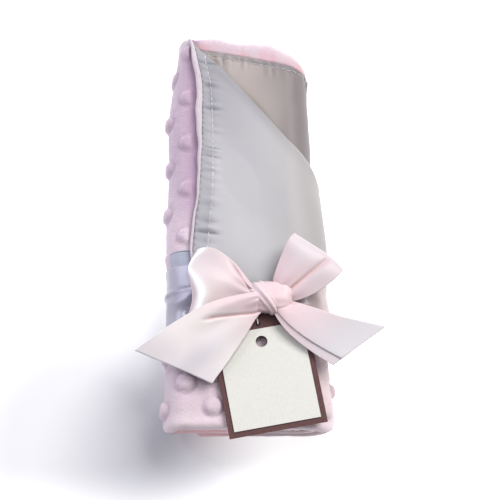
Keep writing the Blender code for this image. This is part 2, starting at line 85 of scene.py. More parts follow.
FLAP_FOOT = HEAD - CORNER_LEG + CORNER_SHIFT - FLAP_DRAWN
RIBBON_WIDTH = 38 * MM
BAND = FOOT + 69.3 * MM
BAND_LOW = BAND - RIBBON_WIDTH / 2
BAND_HIGH = BAND + RIBBON_WIDTH / 2
STATIONS = (
    FOOT_CENTRE,
    FOOT_CENTRE + 18 * MM,
    BAND_LOW,
    FLAP_FOOT,
    BAND_HIGH,
    BACK_CORNER,
    HEAD - 26 * MM,
    HEAD,
)
HEIGHT_SHARES = (0.97, 0.955, 0.92, 0.89, 0.885, 0.90, 0.91, 0.93)
WIDTH_SHARES = (1.12, 1.11, 1.08, 1.05, 1.03, 1.0, 0.995, 0.96)
SKEW = 0.19
SKEW_START = 125 * MM  # the stretch from the foot over which the skew grows to its full share
SKEW_BEND = 6 * MM
FOOT_SLIDE = 3.2 * MM  # the top of the roll overhangs its foot
FOOT_REACH = 40 * MM  # how far up the roll the overhang goes
TOP_START = 190 * MM  # where the last turn comes to the top, measured on the flat cloth
TIP_DRAWN = 0.51  # how far the left side is drawn together at the open end
TIP_REACH = 66 * MM  # the stretch at the open end over which it is drawn together
TIP_SPAN = 15 * MM  # and how far in from the left side
HALF_ROLL = 38 * MM  # from the middle of the roll to its side
PINCH = 0.9 * MM  # how far the ribbon draws the two sides in
BAND_SINK = 0.4 * MM
BAND_LIFT = 0.7 * MM  # the ribbon lies between the roll and the floor
CROWN = 2.2 * MM
ROLL_WAVE = 0.25 * MM
SETTLING = 1.0 * MM  # how softly the floor presses the underside flat
HEM_DRIFT = 4.4 * MM  # how far the turned-down hem drifts to the left on its way to the band
HEM_CLOSING = 3.4 * MM  # how much nearer to the plush's edge the satin comes on the way
HEM_REACH = 60 * MM  # how far in from the hem the cloth drifts with it
CORNER_EASE = 20 * MM  # the stretch past the corner's line over which its pulls grow


def ease(s):
    """A smooth step: 0 below 0, 1 above 1, and level at both ends."""
    s = np.clip(s, 0, 1)
    return s * s * (3 - 2 * s)


def bell(x, width):
    """A bell curve: 1 at 0, fading to both sides over the width."""
    return np.exp(-((x / width) ** 2))


def along(y, values):
    """Values given at the stations of the roll, joined by a line whose corners are rounded off."""
    spread = np.linspace(-9, 9, 7) * MM
    return sum(np.interp(y + step, STATIONS, values) for step in spread) / len(spread)


def rolled(u, n):
    """(x, z) of cloth u along the rolled side and n outside the middle of the fold: a spiral of
    flat runs and half circles, whose radius drops by one pitch with every turn."""
    a = ROLLED_SIDE - u
    x, z = np.zeros_like(a), np.zeros_like(a)
    at, radius, start = 0.0, OUTER_RADIUS, FREE_EDGE
    while at < ROLLED_SIDE:
        side = radius - PITCH / 2
        lengths = (RIGHT - start, math.pi * radius, RUN, math.pi * side)
        for kind, length in enumerate(lengths):
            step = a - at
            if kind == 0:
                place = (start + step, -radius - n)
            elif kind == 1:
                turn = step / radius
                place = (RIGHT + (radius + n) * np.sin(turn), -(radius + n) * np.cos(turn))
            elif kind == 2:
                place = (RIGHT - step, radius + n)
            else:
                turn = step / side
                place = (LEFT - (side + n) * np.sin(turn), PITCH / 2 + (side + n) * np.cos(turn))
            here = (step >= 0) | (at == 0)
            x, z = np.where(here, place[0], x), np.where(here, place[1], z)
            at += length
        radius, start = radius - PITCH, LEFT
    return x, z


def pressed(x, y, z):
    """The roll as it lies: its underside level, its height and width eased along its length,
    drawn in under the ribbon, narrower at the open end on the left, with soft lumps and a low
    crown. The floor presses flat what would sink below it: z becomes half the sum of itself and
    of the root of its square and SETTLING's."""
    level = (FLAP_TOP - PLY) * ease((FLAP_FOOT - y) / (FLAP_FOOT - BAND_LOW))
    level = level + (FLAP_TOP + SATIN / 2) * ease((y - BACK_CORNER) / (16 * MM))
    inner = FLAP_TOP - PLY + PITCH
    level = level + (inner - level) * ease((LEFT + 2 * MM - x) / (14 * MM))
    height = 2 * LOWEST
    z = (z + LOWEST - level) * height / (height - level)
    x = LEFT + np.where(x > LEFT, (x - LEFT) * along(y, WIDTH_SHARES), x - LEFT)
    held = np.exp(-(((y - BAND) / (RIBBON_WIDTH * 0.52)) ** 6))
    middle = (LEFT + RIGHT) / 2
    aside = np.clip((x - middle) / HALF_ROLL, -1.2, 1.2)
    x = x - PINCH * held * aside
    lump = np.sin(y / (9.3 * MM) + 0.6) * 0.22 + np.sin(y / (15.1 * MM) + 2.1) * 0.3
    x = x + lump * MM * aside * (1 - held)
    tip = TIP_DRAWN * ease((y - HEAD - 4 * MM) / TIP_REACH + 1) ** 1.5
    x = x + (LEFT - 2.5 * MM - x) * tip * (1 - ease((x - LEFT - 4 * MM) / TIP_SPAN))
    z = z * along(y, HEIGHT_SHARES) - BAND_SINK * held * z / height
    crown = CROWN * np.clip(1 - aside**2, -0.4, 1) * z / height
    roll_wave = ROLL_WAVE * np.sin(y / (13 * MM) + x / (21 * MM)) * z / height
    z = z + crown + roll_wave
    z = (z + np.hypot(z, SETTLING)) / 2 + BAND_LIFT * held * np.clip(1 - z / height, 0, 1)
    return np.stack([x, y, z], -1)


def skewed(points):
    """The roll was wound a little askew: it slides to the foot, more so to the right."""
    x, y, z = np.moveaxis(points, -1, 0)
    d = x - LEFT
    d = (np.sqrt(d * d + SKEW_BEND**2) + d) / 2
    return np.stack([x, y - SKEW * ease((y - FOOT) / SKEW_START) * d, z], -1)


def past_corner(u, v):
    """How far a place on the flat cloth lies past the line on which the corner is turned down."""
    y = FOOT_CENTRE + np.abs(v) - FOOT_TURN
    return ((u - CORNER_U) + (y - HEAD)) / math.sqrt(2)


def laid(u, v, t):
    """Cloth at u along the rolled side and v across the foot, t from the middle of the fold:
    half a turn about the foot, half a turn about the corner's line, then rolled and pressed."""
    side, past = np.sign(v), np.abs(v) - FOOT_TURN
    turn = np.clip(v / FOOT_BEND, -math.pi / 2, math.pi / 2)
    y = np.where(past > 0, FOOT_CENTRE + past, FOOT_CENTRE - t * np.cos(turn))
    n = np.where(past > 0, side * t, t * np.sin(turn))
    d = np.where((v > 0) & (past > 0), past_corner(u, v), 0)
    d = np.maximum(d, 0)
    angle = np.clip(d / CORNER_BEND, 0, math.pi)
    arm = FOLD_CENTRE - t
    back = arm * np.sin(angle) - d - np.maximum(d - math.pi * CORNER_BEND, 0)
    n = np.where(d > 0, FOLD_CENTRE - arm * np.cos(angle), n)
    u = np.where(d > 0, u + back / math.sqrt(2), u)
    y = np.where(d > 0, y + back / math.sqrt(2), y)
    drawn = ease((FLAP_FOOT + 75 * MM - y) / (62 * MM)) * ease((d - CORNER_BEND) / CORNER_EASE)
    y = y - FLAP_DRAWN * drawn
    near_hem = ease(1 - (FOLDED_SIDE / 2 - np.abs(v)) / HEM_REACH)
    u = u - hem_drift(y) * near_hem * ease((d - CORNER_BEND) / CORNER_EASE)
    x, z = rolled(u, n)
    over = ease((z - 2 * MM) / (6 * MM)) * ease((u - TOP_START) / (14 * MM))
    y = y - FOOT_SLIDE * over * ease((FOOT + FOOT_REACH - y) / FOOT_REACH)
    return pressed(x, y, z)


def hem_drift(y):
    """How far the turned-down hem has drifted to the left at y, after a start to the right."""
    down = HEM_DRIFT * ease((FLAP_FOOT + 72 * MM - y) / (80 * MM))
    return down - 1.6 * MM * ease((HEAD - y) / (28 * MM))


def hem_closing(u, v):
    """How much nearer to the edge the satin of the turned-down hem comes: from its top down, and
    at the very top, where the fold stretches it."""
    past = u - CORNER_U - 5 * MM
    down = HEM_CLOSING * ease(past / (105 * MM))
    return (down + 3 * MM * bell(past, 8 * MM)) * (v > 0)


def satin_shows(u, v):
    """1 where the satin is in the open: on the turned-down corner and where that corner was."""
    d = past_corner(u, v)
    start = np.where(v > 0, math.pi * CORNER_BEND - 2 * MM, 0)
    return ease((d - start) / (7 * MM))


def spaced(*stops):
    """Grid lines: (place, step) pairs, where each step holds from its place to the next one."""
    lines = [
        np.linspace(a, b, max(1, round((b - a) / step)), endpoint=False)
        for (a, step), (b, _) in zip(stops, stops[1:])
    ]
    return np.append(np.concatenate(lines), stops[-1][0])


def new_piece(name, points, faces, flat=None):
    """An object of points and faces, with the place of every point on the flat cloth as its UV."""
    mesh = bpy.data.meshes.new(name)
    mesh.from_pydata(points.reshape(-1, 3).tolist(), [], faces)
    mesh.update()
    mesh.shade_smooth()
    if flat is not None:
        corners = np.empty(len(mesh.loops), np.intc)
        mesh.loops.foreach_get("vertex_index", corners)
        uv = mesh.uv_layers.new(name="flat")
        uv.data.foreach_set("uv", flat.reshape(-1, 2)[corners].ravel())
    made = bpy.data.objects.new(name, mesh)
    bpy.context.scene.collection.objects.link(made)
    return made


def closed_sheet(name, under, over, flat):
    """A closed skin of two grids of points and the rim that joins them."""
    rows, columns = under.shape[:2]
    at = np.arange(rows * columns).reshape(rows, columns)
    quads = np.stack([at[:-1, :-1], at[:-1, 1:], at[1:, 1:], at[1:, :-1]], -1).reshape(-1, 4)
    edge = np.concatenate([at[0, :-1], at[:-1, -1], at[-1, :0:-1], at[:0:-1, 0]])
    after = np.roll(edge, -1)
    count = rows * columns
    rim = np.stack([edge, after, after + count, edge + count], -1)
    faces = np.concatenate([quads[:, ::-1], quads + count, rim])
    points = np.concatenate([under, over])
    return new_piece(name, points, faces.tolist(), np.concatenate([flat, flat]))


def dressed(piece, finish, node=None):
    """Gives a piece its finish and its slot, and hides the solid that it takes the place of."""
    piece.data.materials.append(finish)
    if node:
        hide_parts(node)


def keep_values(piece, title, values):
    """Keeps one value for each point of the piece, which its material reads by the title."""
    layer = piece.data.attributes.new(title, "FLOAT", "POINT")
    layer.data.foreach_set("value", values.ravel())


# The plush panel.
# Knitted plush with a short dense pile and raised dots, the outside of the blanket. Its edge
# wraps the seam, so that a strip of it stands beside the satin.
DOT_ACROSS = 25.0 * MM
DOT_ALONG = 26.9 * MM
DOT_PLACE = (3.0 * MM, 10.5 * MM)
DOT_RADIUS = 4.5 * MM
DOT_HEIGHT = 2.1 * MM
DOT_RING = 0.45 * MM
EDGE_WRAP = 5.2 * MM
# The plush at the open end stands out past the seam: places along the rolled side, and how far.
HEAD_EDGE_AT = np.array((214, 222, 229, 236, 242, 248, 252, 258, 267, 277, 284)) * MM
HEAD_EDGE_RISE = np.array((-1, -1.6, 0, 0.2, 1.2, 1.6, 3.0, 1.8, 0, -1.9, -2.6)) * MM


def dots(u, v):
    """The raised dots: domes on a staggered lattice, each in a shallow ring where the pile ends.
    Gives the height, and how deep in a ring a place is, from 0 to 1."""
    p = (u - DOT_PLACE[0]) / DOT_ACROSS
    q = (v - DOT_PLACE[1]) / DOT_ALONG
    reach = np.full(np.shape(u), 1.0)
    for shift in (0, 1):
        a, b = p - 0.5 * shift, q - 0.44 * shift
        far = np.hypot((a - np.round(a)) * DOT_ACROSS, (b - np.round(b)) * DOT_ALONG)
        reach = np.minimum(reach, far)
    dome = DOT_HEIGHT * np.sqrt(np.clip(1 - (reach / DOT_RADIUS) ** 4, 0, 1))
    ring = bell(reach - DOT_RADIUS - 0.3 * MM, 1.0 * MM)
    return dome - DOT_RING * ring, ring


def pile_noise(u, v):
    """Fine unevenness of the pile: twelve waves of a few millimetres in as many directions."""
    total = 0.0
    for k in range(12):
        angle, length = 2.4 * k, (2.6 + 0.45 * k) * MM
        way = u * np.cos(angle) + v * np.sin(angle)
        total = total + np.sin(way * 2 * math.pi / length + k * k)
    return total * 0.026 * MM


half = FOLDED_SIDE / 2
us = spaced(
    (0, 0.4 * MM),
    (2.4 * MM, 4.5 * MM),
    (182 * MM, 0.95 * MM),
    (304 * MM, 2.4 * MM),
    (353.6 * MM, 0.4 * MM),
    (ROLLED_SIDE, 1),
)
vs = spaced(
    (-half, 0.4 * MM),
    (-half + 6 * MM, 5.5 * MM),
    (-5 * MM, 0.9 * MM),
    (5 * MM, 1.35 * MM),
    (half - 5 * MM, 0.5 * MM),
    (half, 1),
)
u, v = np.meshgrid(us, vs)
inside = np.minimum(np.minimum(u, ROLLED_SIDE - u), half - np.abs(v))
y = FOOT_CENTRE + np.abs(v) - FOOT_TURN
outer_turn = ease((u - TOP_START + 10 * MM) / (6 * MM)) * ease((v + 3 * MM) / (6 * MM))
under_flap = ease((u - CORNER_U - 1 * MM) / (4 * MM)) * ease((y - FLAP_FOOT + 5 * MM) / (4 * MM))
under_band = np.exp(-(((y - BAND - 3 * MM) / (24.5 * MM)) ** 8))
free = outer_turn * (1 - under_flap) * (1 - 0.9 * under_band)
rounding = np.sqrt(np.clip(1 - (1 - inside / (2.2 * MM)) ** 2, 0.02, 1))
rounding = np.where(inside < 2.2 * MM, rounding, 1)
dome, ring = dots(u, v)
over = PLUSH_LOW + PLUSH * rounding + free * (dome * ease(inside / (5 * MM)) + pile_noise(u, v))
shows = satin_shows(u, v)
reach = EDGE_WRAP + 1.2 * MM * (v < 0) - hem_closing(u, v)
wrap = ease((reach - inside) / (0.8 * MM)) * np.sqrt(np.clip(inside / (1.4 * MM), 0, 1))
wrapped = PLUSH_LOW - (PLUSH_LOW - 0.12 * MM + 1.1 * MM * shows) * wrap
wrapped = wrapped - pile_noise(v, u) * wrap * shows
fluff = np.sin(u / (5.1 * MM)) + np.sin(u / (2.3 * MM) + 1) * 0.6 + np.sin(u / (8.7 * MM) + 2)
risen = np.interp(u, HEAD_EDGE_AT, HEAD_EDGE_RISE)
standing = np.where(v < 0, 2.0 * MM + 0.7 * MM * fluff + risen, 0.35 * MM * fluff)
v_laid = v + np.sign(v) * standing * ease((np.abs(v) - half + 6 * MM) / (6 * MM))
plush_under, plush_over = laid(u, v_laid, wrapped), laid(u, v_laid, over)

card_low, card_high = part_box("tag_backing_card")  # the plush keeps clear of the card on it
outside = np.maximum(card_low[0] - plush_over[..., 0], plush_over[..., 0] - card_high[0])
outside = np.maximum(outside, plush_over[..., 1] - card_high[1])
under_card = 1 - ease(outside / (1.5 * MM))
spare = plush_over[..., 2] - card_low[2] + 0.5 * MM
plush_over[..., 2] -= np.maximum(spare, 0) * under_card
minky = closed_sheet("minky_cloth", skewed(plush_under), skewed(plush_over), np.stack([u, v], -1))
# The rings round the dots, kept for the painted shade in them.
keep_values(minky, "shade", np.stack([np.zeros_like(ring), ring * free]))


def new_material(name):
    """A node material, its tree and its Principled shader."""
    made = bpy.data.materials.new(name)
    made.use_nodes = True
    tree = made.node_tree
    return made, tree, tree.nodes["Principled BSDF"]


def feed(tree, node, **inputs):
    """Sets a node's inputs, each by its name or by its number, as in _0. An input takes a plain
    value or the socket that feeds it."""
    for key, value in inputs.items():
        socket = node.inputs[int(key[1:]) if key[1:].isdigit() else key.replace("_", " ")]
        if isinstance(value, bpy.types.NodeSocket):
            tree.links.new(value, socket)
        else:
            socket.default_value = value


def add_node(tree, kind, settings=(), **inputs):
    """A new node with its settings and its inputs."""
    node = tree.nodes.new(kind)
    for key, value in dict(settings).items():
        setattr(node, key, value)
    feed(tree, node, **inputs)
    return node


def fibre_group():
    """A shared effect: two noises, fine fibres and broad patches. They read the given place, at
    so many fibres and patches to the metre."""
    group = bpy.data.node_groups.new("fibres and patches", "ShaderNodeTree")
    face = group.interface
    face.new_socket("Place", in_out="INPUT", socket_type="NodeSocketVector")
    for name in ("Fibre Scale", "Patch Scale"):
        face.new_socket(name, in_out="INPUT", socket_type="NodeSocketFloat")
    face.new_socket("Fibres", in_out="OUTPUT", socket_type="NodeSocketFloat")
    face.new_socket("Patches", in_out="OUTPUT", socket_type="NodeSocketFloat")
    start, end = group.nodes.new("NodeGroupInput"), group.nodes.new("NodeGroupOutput")
    place, *scales = start.outputs[:3]
    for k, (scale, detail) in enumerate(zip(scales, (3.0, 2.0))):
        noise = add_node(group, "ShaderNodeTexNoise", Vector=place, Scale=scale, Detail=detail)
        group.links.new(noise.outputs[0], end.inputs[k])
    return group


fibres = fibre_group()


def cloth_place(tree):
    """The place on the flat cloth, in metres."""
    return add_node(tree, "ShaderNodeUVMap", {"uv_map": "flat"}).outputs[0]


def object_place(tree):
    """The place from the piece's own origin, in metres: the room's, when nothing moves."""
    return add_node(tree, "ShaderNodeTexCoord").outputs["Object"]


def kept_values(tree, title):
    """The values that keep_values put on the points."""
    return add_node(tree, "ShaderNodeAttribute", {"attribute_name": title}).outputs["Fac"]


def split(tree, place):
    """The three parts of a place."""
    return add_node(tree, "ShaderNodeSeparateXYZ", Vector=place).outputs


def worked(tree, operation, first, second=0.0):
    """A sum, a product or the like of two values."""
    return add_node(tree, "ShaderNodeMath", {"operation": operation}, _0=first, _1=second).outputs[0]


def spread_colour(tree, mask, low, high, dark, light):
    """A colour ramp between two colours, over a mask's range from low to high."""
    ramp = add_node(tree, "ShaderNodeValToRGB", Fac=mask)
    for stop, place, colour in zip(ramp.color_ramp.elements, (low, high), (dark, light)):
        stop.position = place
        stop.color = (*colour, 1)
    return ramp.outputs[0]


def placed_fibres(tree, place, fibre_scale, patch_scale):
    """The shared fibre effect, placed in a material with its own scales."""
    node = add_node(tree, "ShaderNodeGroup", {"node_tree": fibres}, Place=place)
    feed(tree, node, Fibre_Scale=fibre_scale, Patch_Scale=patch_scale)
    return node.outputs["Fibres"], node.outputs["Patches"]


def mixed(tree, factor, first, second):
    """A mix of two colours, each a colour or the socket that gives one."""
    node = add_node(tree, "ShaderNodeMix", {"data_type": "RGBA"}, Factor=factor, _6=first, _7=second)
    return node.outputs[2]


def eased(tree, value, start, end):
    """A smooth step of a value: 0 at the start, 1 at the end."""
    smooth = {"interpolation_type": "SMOOTHSTEP", "clamp": True}
    return add_node(tree, "ShaderNodeMapRange", smooth, _0=value, _1=start, _2=end).outputs[0]


def both(tree, first, *others):
    """Where all the masks are on, or one mask at a share of its strength."""
    for mask in others:
        first = worked(tree, "MULTIPLY", first, mask)
    return first


def tinted(tree, colour, tints):
    """A colour with tints laid over it in turn: each is a mask and the colour that it brings."""
    for mask, tint in tints:
        colour = mixed(tree, mask, colour, (*tint, 1))
    return colour


def bumped(tree, height, distance):
    """Fine relief from a mask, as high as the given distance."""
    return add_node(tree, "ShaderNodeBump", Height=height, Distance=distance, Strength=1.0).outputs[0]


plush_material, tree, shader = new_material("pink plush pile")
fine, broad = placed_fibres(tree, cloth_place(tree), 900.0, 70.0)
low_pile = spread_colour(tree, fine, 0.3, 0.7, (0.47, 0.375, 0.44), (0.57, 0.48, 0.54))
tips = spread_colour(tree, fine, 0.3, 0.7, (0.53, 0.435, 0.50), (0.57, 0.475, 0.53))
across = split(tree, cloth_place(tree))[1]
from_foot = worked(tree, "ABSOLUTE", across)
x, y, z = split(tree, object_place(tree))
right_side_painted_light = eased(tree, x, -0.01, 0.035)
shade_beside_hem = both(tree, eased(tree, x, -0.048, -0.037), eased(tree, x, -0.030, -0.035))
shade_beside_hem = both(tree, shade_beside_hem, eased(tree, y, -0.01, 0.025))
shaded_left_side = both(tree, eased(tree, x, -0.036, -0.046), eased(tree, y, 0.0, 0.04))
shade_near_foot = eased(tree, y, -0.075, -0.10)
highlight_on_foot_fold = both(tree, eased(tree, from_foot, 0.010, 0.002), eased(tree, z, 0.010, 0.018))
low_left = both(tree, eased(tree, x, 0.0, -0.016), eased(tree, x, -0.048, -0.043))
low_left = both(tree, low_left, eased(tree, z, 0.018, 0.012))
shade_between_layers = both(tree, eased(tree, from_foot, 0.016, 0.004), low_left)
shaded_head_strip = eased(tree, across, -half + 0.001, -half + 0.0048)
shaded_head_strip = both(tree, shaded_head_strip, eased(tree, across, -0.2, -0.205))
lit_hem_strip = eased(tree, across, half - 0.008, half - 0.005)
rings = both(tree, kept_values(tree, "shade"), 0.55)
tints = (
    # painted warm light on the right side of the roll
    (right_side_painted_light, (0.57, 0.47, 0.47)),
    # painted shade on the plush beside the raised hem
    (shade_beside_hem, (0.37, 0.27, 0.36)),
    # painted shade down the left side of the roll
    (both(tree, shaded_left_side, 0.7), (0.38, 0.29, 0.37)),
    # painted shade, darker towards the foot
    (both(tree, shade_near_foot, 0.6), (0.48, 0.395, 0.42)),
    # painted highlight along the top of the rounded fold at the foot
    (highlight_on_foot_fold, (0.59, 0.495, 0.535)),
    # painted shade: a deeper coral on the layers seen at the foot, between one another
    (shade_between_layers, (0.90, 0.57, 0.61)),
    # painted shade on the plush strip at the open end, and redder painted shade under its lumps
    (shaded_head_strip, (0.45, 0.37, 0.41)),
    (both(tree, shaded_head_strip, eased(tree, broad, 0.35, 0.65)), (0.49, 0.30, 0.33)),
    # painted light: the plush strip beside the satin is kept paler, as it stands up into the light
    (lit_hem_strip, (0.50, 0.44, 0.48)),
    # painted shade in the rings round the dots
    (rings, (0.40, 0.29, 0.37)),
)
colour = tinted(tree, mixed(tree, broad, low_pile, tips), tints)
feed(tree, shader, Base_Color=colour, Normal=bumped(tree, fine, 0.32 * MM))
feed(tree, shader, Roughness=0.95, Sheen_Weight=0.7, Sheen_Roughness=0.5)
feed(tree, shader, Specular_IOR_Level=0.2, Sheen_Tint=(0.95, 0.85, 0.92, 1))
dressed(minky, plush_material, "minky_panel")
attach(minky, "bundle")

# The satin panel.
# Silver-grey satin, the lining of the blanket. It ends a little short of the plush on every side,
# and a line of topstitching near its edge gathers it into small puckers.
SATIN_INSET = 3.5 * MM
HEM_INSET = 4.6 * MM
BACK_INSET = 5.8 * MM
STITCH_INSET = 8.6 * MM
OVERLOCK_PITCH = 3.1 * MM
HEM_EDGE = 0.5 * MM  # how sharply the colour of the hem starts at the thread


def puckers(along_edge, from_edge):
    """Small folds across the topstitching: uneven waves along the edge with sharp creases between
    them, strongest at the thread."""
    s = along_edge / MM
    wave = np.sin(s * 1.15 + 1.3 * np.sin(s * 0.21)) + 0.5 * np.sin(s * 2.1 + 2 * np.sin(s * 0.13))
    crease = bell(np.sin(s * 0.6 + 1.1 * np.sin(s * 0.17)), 0.22)
    strong = 0.75 + 0.25 * np.sin(s * 0.117 + 1.9 * np.sin(s * 0.041))
    wave = (wave * 0.8 - 1.5 * crease + 0.4) * strong
    strong = 0.7 + 0.3 * np.sin(s * 0.49)
    reach = np.where(from_edge < STITCH_INSET, 3.2 * MM, 4.6 * MM)
    return wave * strong * bell(from_edge - STITCH_INSET, reach)


def satin_swell(u, v):
    """How far the satin stands off: puckers along its hems, a groove at the thread, slow swells."""
    to_top, to_side = half - np.abs(v), ROLLED_SIDE - u
    pucker = (puckers(u, to_top) + puckers(v, to_side)) * 0.8 * MM
    groove = bell(to_top - STITCH_INSET, 1.1 * MM) + bell(to_side - STITCH_INSET, 1.1 * MM)
    slow = np.sin((u + v) / (9 * MM) + 0.8 * np.sin(u / (19 * MM))) * 0.7
    slow = slow + np.sin((u - 0.6 * v) / (11 * MM) + 1) * 0.3
    hem = np.maximum(ease((STITCH_INSET - to_top) / MM), ease((STITCH_INSET - to_side) / MM))
    return np.maximum(pucker - 0.3 * MM * groove + slow * MM * (1 - hem) + 0.6 * MM, 0.08 * MM)


us = spaced((SATIN_INSET, 4 * MM), (205 * MM, 1.0 * MM), (ROLLED_SIDE - SATIN_INSET, 1))
top = half - HEM_INSET
back = half - BACK_INSET
vs = spaced(
    (-back, 0.8 * MM),
    (-back + 14 * MM, 2.2 * MM),
    (-66 * MM, 5 * MM),
    (-4 * MM, 1.0 * MM),
    (4 * MM, 5 * MM),
    (67 * MM, 1.35 * MM),
    (top - 16 * MM, 0.7 * MM),
    (top, 1),
)
u, v = np.meshgrid(us, vs)
swell = satin_swell(u, v) * satin_shows(u, v)
v_laid = v + hem_closing(u, v) * ease((v - top + 5 * MM) / (5 * MM))
satin_low = laid(u, v_laid, SATIN / 2 - swell)
satin_high = laid(u, v_laid, SATIN * 1.5 - swell)
satin = closed_sheet("satin_lining", skewed(satin_low), skewed(satin_high), np.stack([u, v], -1))
# Painted shade in the creases of the puckers, with the overlock thread's real dark marks at the hem.
valley = -1.3 * (puckers(u, half - np.abs(v)) + puckers(v, ROLLED_SIDE - u)) - 0.2
valley = valley * np.where(v > 0, 1, 0.45)
overlock = ease((v - top + 1.2 * MM) / (0.8 * MM)) * ease(np.sin(u * 2 * math.pi / OVERLOCK_PITCH) * 2)
valley = np.clip(np.maximum(valley, 0.8 * overlock), 0, 1)
keep_values(satin, "shade", np.stack([valley, valley]))

satin_material, tree, shader = new_material("silver grey satin")
fine, broad = placed_fibres(tree, cloth_place(tree), 1500.0, 22.0)
# Painted sheen: the turned-down corner is painted lighter and more silver than the rest of the satin.
turned = spread_colour(tree, broad, 0.3, 0.75, (0.335, 0.33, 0.35), (0.385, 0.38, 0.395))
side, across, _ = split(tree, cloth_place(tree))
x = split(tree, object_place(tree))[0]
line = CORNER_U + HEAD - FOOT_CENTRE + FOOT_TURN
shade_near_fold_line = eased(tree, worked(tree, "ADD", side, across), line + 0.020, line + 0.008)
shade_near_top = eased(tree, side, CORNER_U + 0.085, CORNER_U + 0.01)
stitch_line = half - STITCH_INSET
hem = eased(tree, across, stitch_line - HEM_EDGE, stitch_line + HEM_EDGE)
tints = (
    # painted shade along the fold line of the turned-down corner
    (shade_near_fold_line, (0.24, 0.235, 0.25)),
    # painted shade towards the top of the turned-down corner
    (shade_near_top, (0.235, 0.23, 0.25)),
    # painted shade along the puckered hem, past the thread
    (both(tree, hem, 0.7), (0.27, 0.27, 0.295)),
)
turned = tinted(tree, turned, tints)
# Painted shade: the rest of the satin is a darker taupe, darker still towards its rounded right side.
shaded_straight = spread_colour(tree, side, 0.248, 0.274, (0.31, 0.27, 0.26), (0.155, 0.133, 0.137))
# Painted shade along the puckered hem, past the thread.
hem = eased(tree, across, HEM_EDGE - stitch_line, -HEM_EDGE - stitch_line)
shaded_straight = tinted(tree, shaded_straight, [(both(tree, hem, 0.4), (0.13, 0.13, 0.145))])
outer_half = worked(tree, "GREATER_THAN", across)
right_side_painted_light = both(tree, outer_half, eased(tree, x, -0.005, 0.035))
tints = (
    # painted shade on the right side of the turned-down corner
    (right_side_painted_light, (0.30, 0.285, 0.285)),
    # painted shade in the pucker creases, and the overlock's dark marks
    (kept_values(tree, "shade"), (0.14, 0.14, 0.165)),
)
colour = tinted(tree, mixed(tree, outer_half, shaded_straight, turned), tints)
feed(tree, shader, Base_Color=colour, Normal=bumped(tree, fine, 0.06 * MM))
feed(tree, shader, Roughness=0.55, Sheen_Weight=0.25, Sheen_Roughness=0.4, Specular_IOR_Level=0.4)
dressed(satin, satin_material, "satin_panel")
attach(satin, "bundle")

# The topstitching.
# Pale polyester thread, sewn through both cloths all round, a little in from the satin's edge.
# Each stitch is a short capsule that follows the folded cloth.
STITCH_PITCH = 3.1 * MM
STITCH_LENGTH = 2.4 * MM
THREAD = 0.24 * MM  # half the thickness of the thread


def stitch_run(fixed, low, high, across):
    """Stitches along one hem: capsules of 7 rings by 6 points, worked out on the flat cloth.
    A ring's size follows a half circle along the stitch. Gives (u, v, height) of each point."""
    count = int((high - low) / STITCH_PITCH)
    middle = low + (np.arange(count) + 0.5) * (high - low) / count
    bend = np.linspace(0.06, math.pi - 0.06, 7)
    turn = np.linspace(0, 2 * math.pi, 6, endpoint=False)
    size = THREAD * np.sin(bend)[:, None] ** 0.5
    s = middle[:, None, None] - STITCH_LENGTH / 2 * np.cos(bend)[:, None]
    side, lift = fixed + size * np.cos(turn), size * np.sin(turn)
    return np.broadcast_arrays(*((side, s, lift) if across else (s, side, lift)))


edge_u, edge_v = STITCH_INSET, half - STITCH_INSET
runs = [
    stitch_run(edge_v, edge_u, ROLLED_SIDE - edge_u, False),
    stitch_run(-edge_v, edge_u, ROLLED_SIDE - edge_u, False),
    stitch_run(edge_u, -edge_v, edge_v, True),
    stitch_run(ROLLED_SIDE - edge_u, -edge_v, edge_v, True),
]
u, v, lift = (np.concatenate([run[k] for run in runs]) for k in range(3))
shows = satin_shows(u, v)
face = SATIN / 2 - (satin_swell(u, v) + 0.1 * MM) * shows
points = skewed(laid(u, v, face - np.clip(lift, -THREAD, THREAD * (0.3 + 0.7 * shows))))
count, rings, sides = points.shape[:3]
at = np.arange(count * rings * sides).reshape(count, rings, sides)
after = np.roll(at, -1, axis=2)
walls = np.stack([at[:, :-1], at[:, 1:], after[:, 1:], after[:, :-1]], -1).reshape(-1, 4)
caps = np.concatenate([at[:, 0].reshape(-1, sides), at[:, -1, ::-1].reshape(-1, sides)])
stitches = new_piece("topstitching", points, walls.tolist() + caps.tolist())



def plain_material(name, fibre_scale, patch_scale, dark, light, relief, **inputs):
    """A material whose patches vary between two colours, with fine relief from its fibres."""
    made, tree, shader = new_material(name)
    fine, broad = placed_fibres(tree, object_place(tree), fibre_scale, patch_scale)
    colour = spread_colour(tree, broad, 0.3, 0.7, dark, light)
    feed(tree, shader, Base_Color=colour, Normal=bumped(tree, fine, relief), **inputs)
    return made


thread_dark, thread_light = (0.42, 0.42, 0.43), (0.54, 0.54, 0.55)
thread_material = plain_material(
    "pale thread", 3000, 60, thread_dark, thread_light, 0.05 * MM, Roughness=0.5, Sheen_Weight=0.3
)
dressed(stitches, thread_material)
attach(stitches, "bundle")

# The woven label.
# A bare silver-blue satin label, sewn into the hem of the turned-down corner. It lies on the plush
# of the rounded side, and the ribbon goes over its lower half.
LABEL_SIDE = 9.6 * MM  # its width on the middle of the fold, round which it lies
LABEL_LENGTH = 28 * MM
LABEL = 0.35 * MM
LABEL_LOOSE = 0.45 * MM
LABEL_TOP = BAND_HIGH + 6.4 * MM

edge = CORNER_U + CORNER_SHIFT - 0.3 * MM
u, y = np.meshgrid(
    np.linspace(edge - LABEL_SIDE, edge, 33), np.linspace(LABEL_TOP - LABEL_LENGTH, LABEL_TOP, 57)
)
ripple = 0.25 * MM * np.sin((y - LABEL_TOP) / (2.6 * MM) + (u - edge) / (5 * MM))
ripple = ripple * ease((y - BAND_HIGH) / (3 * MM))


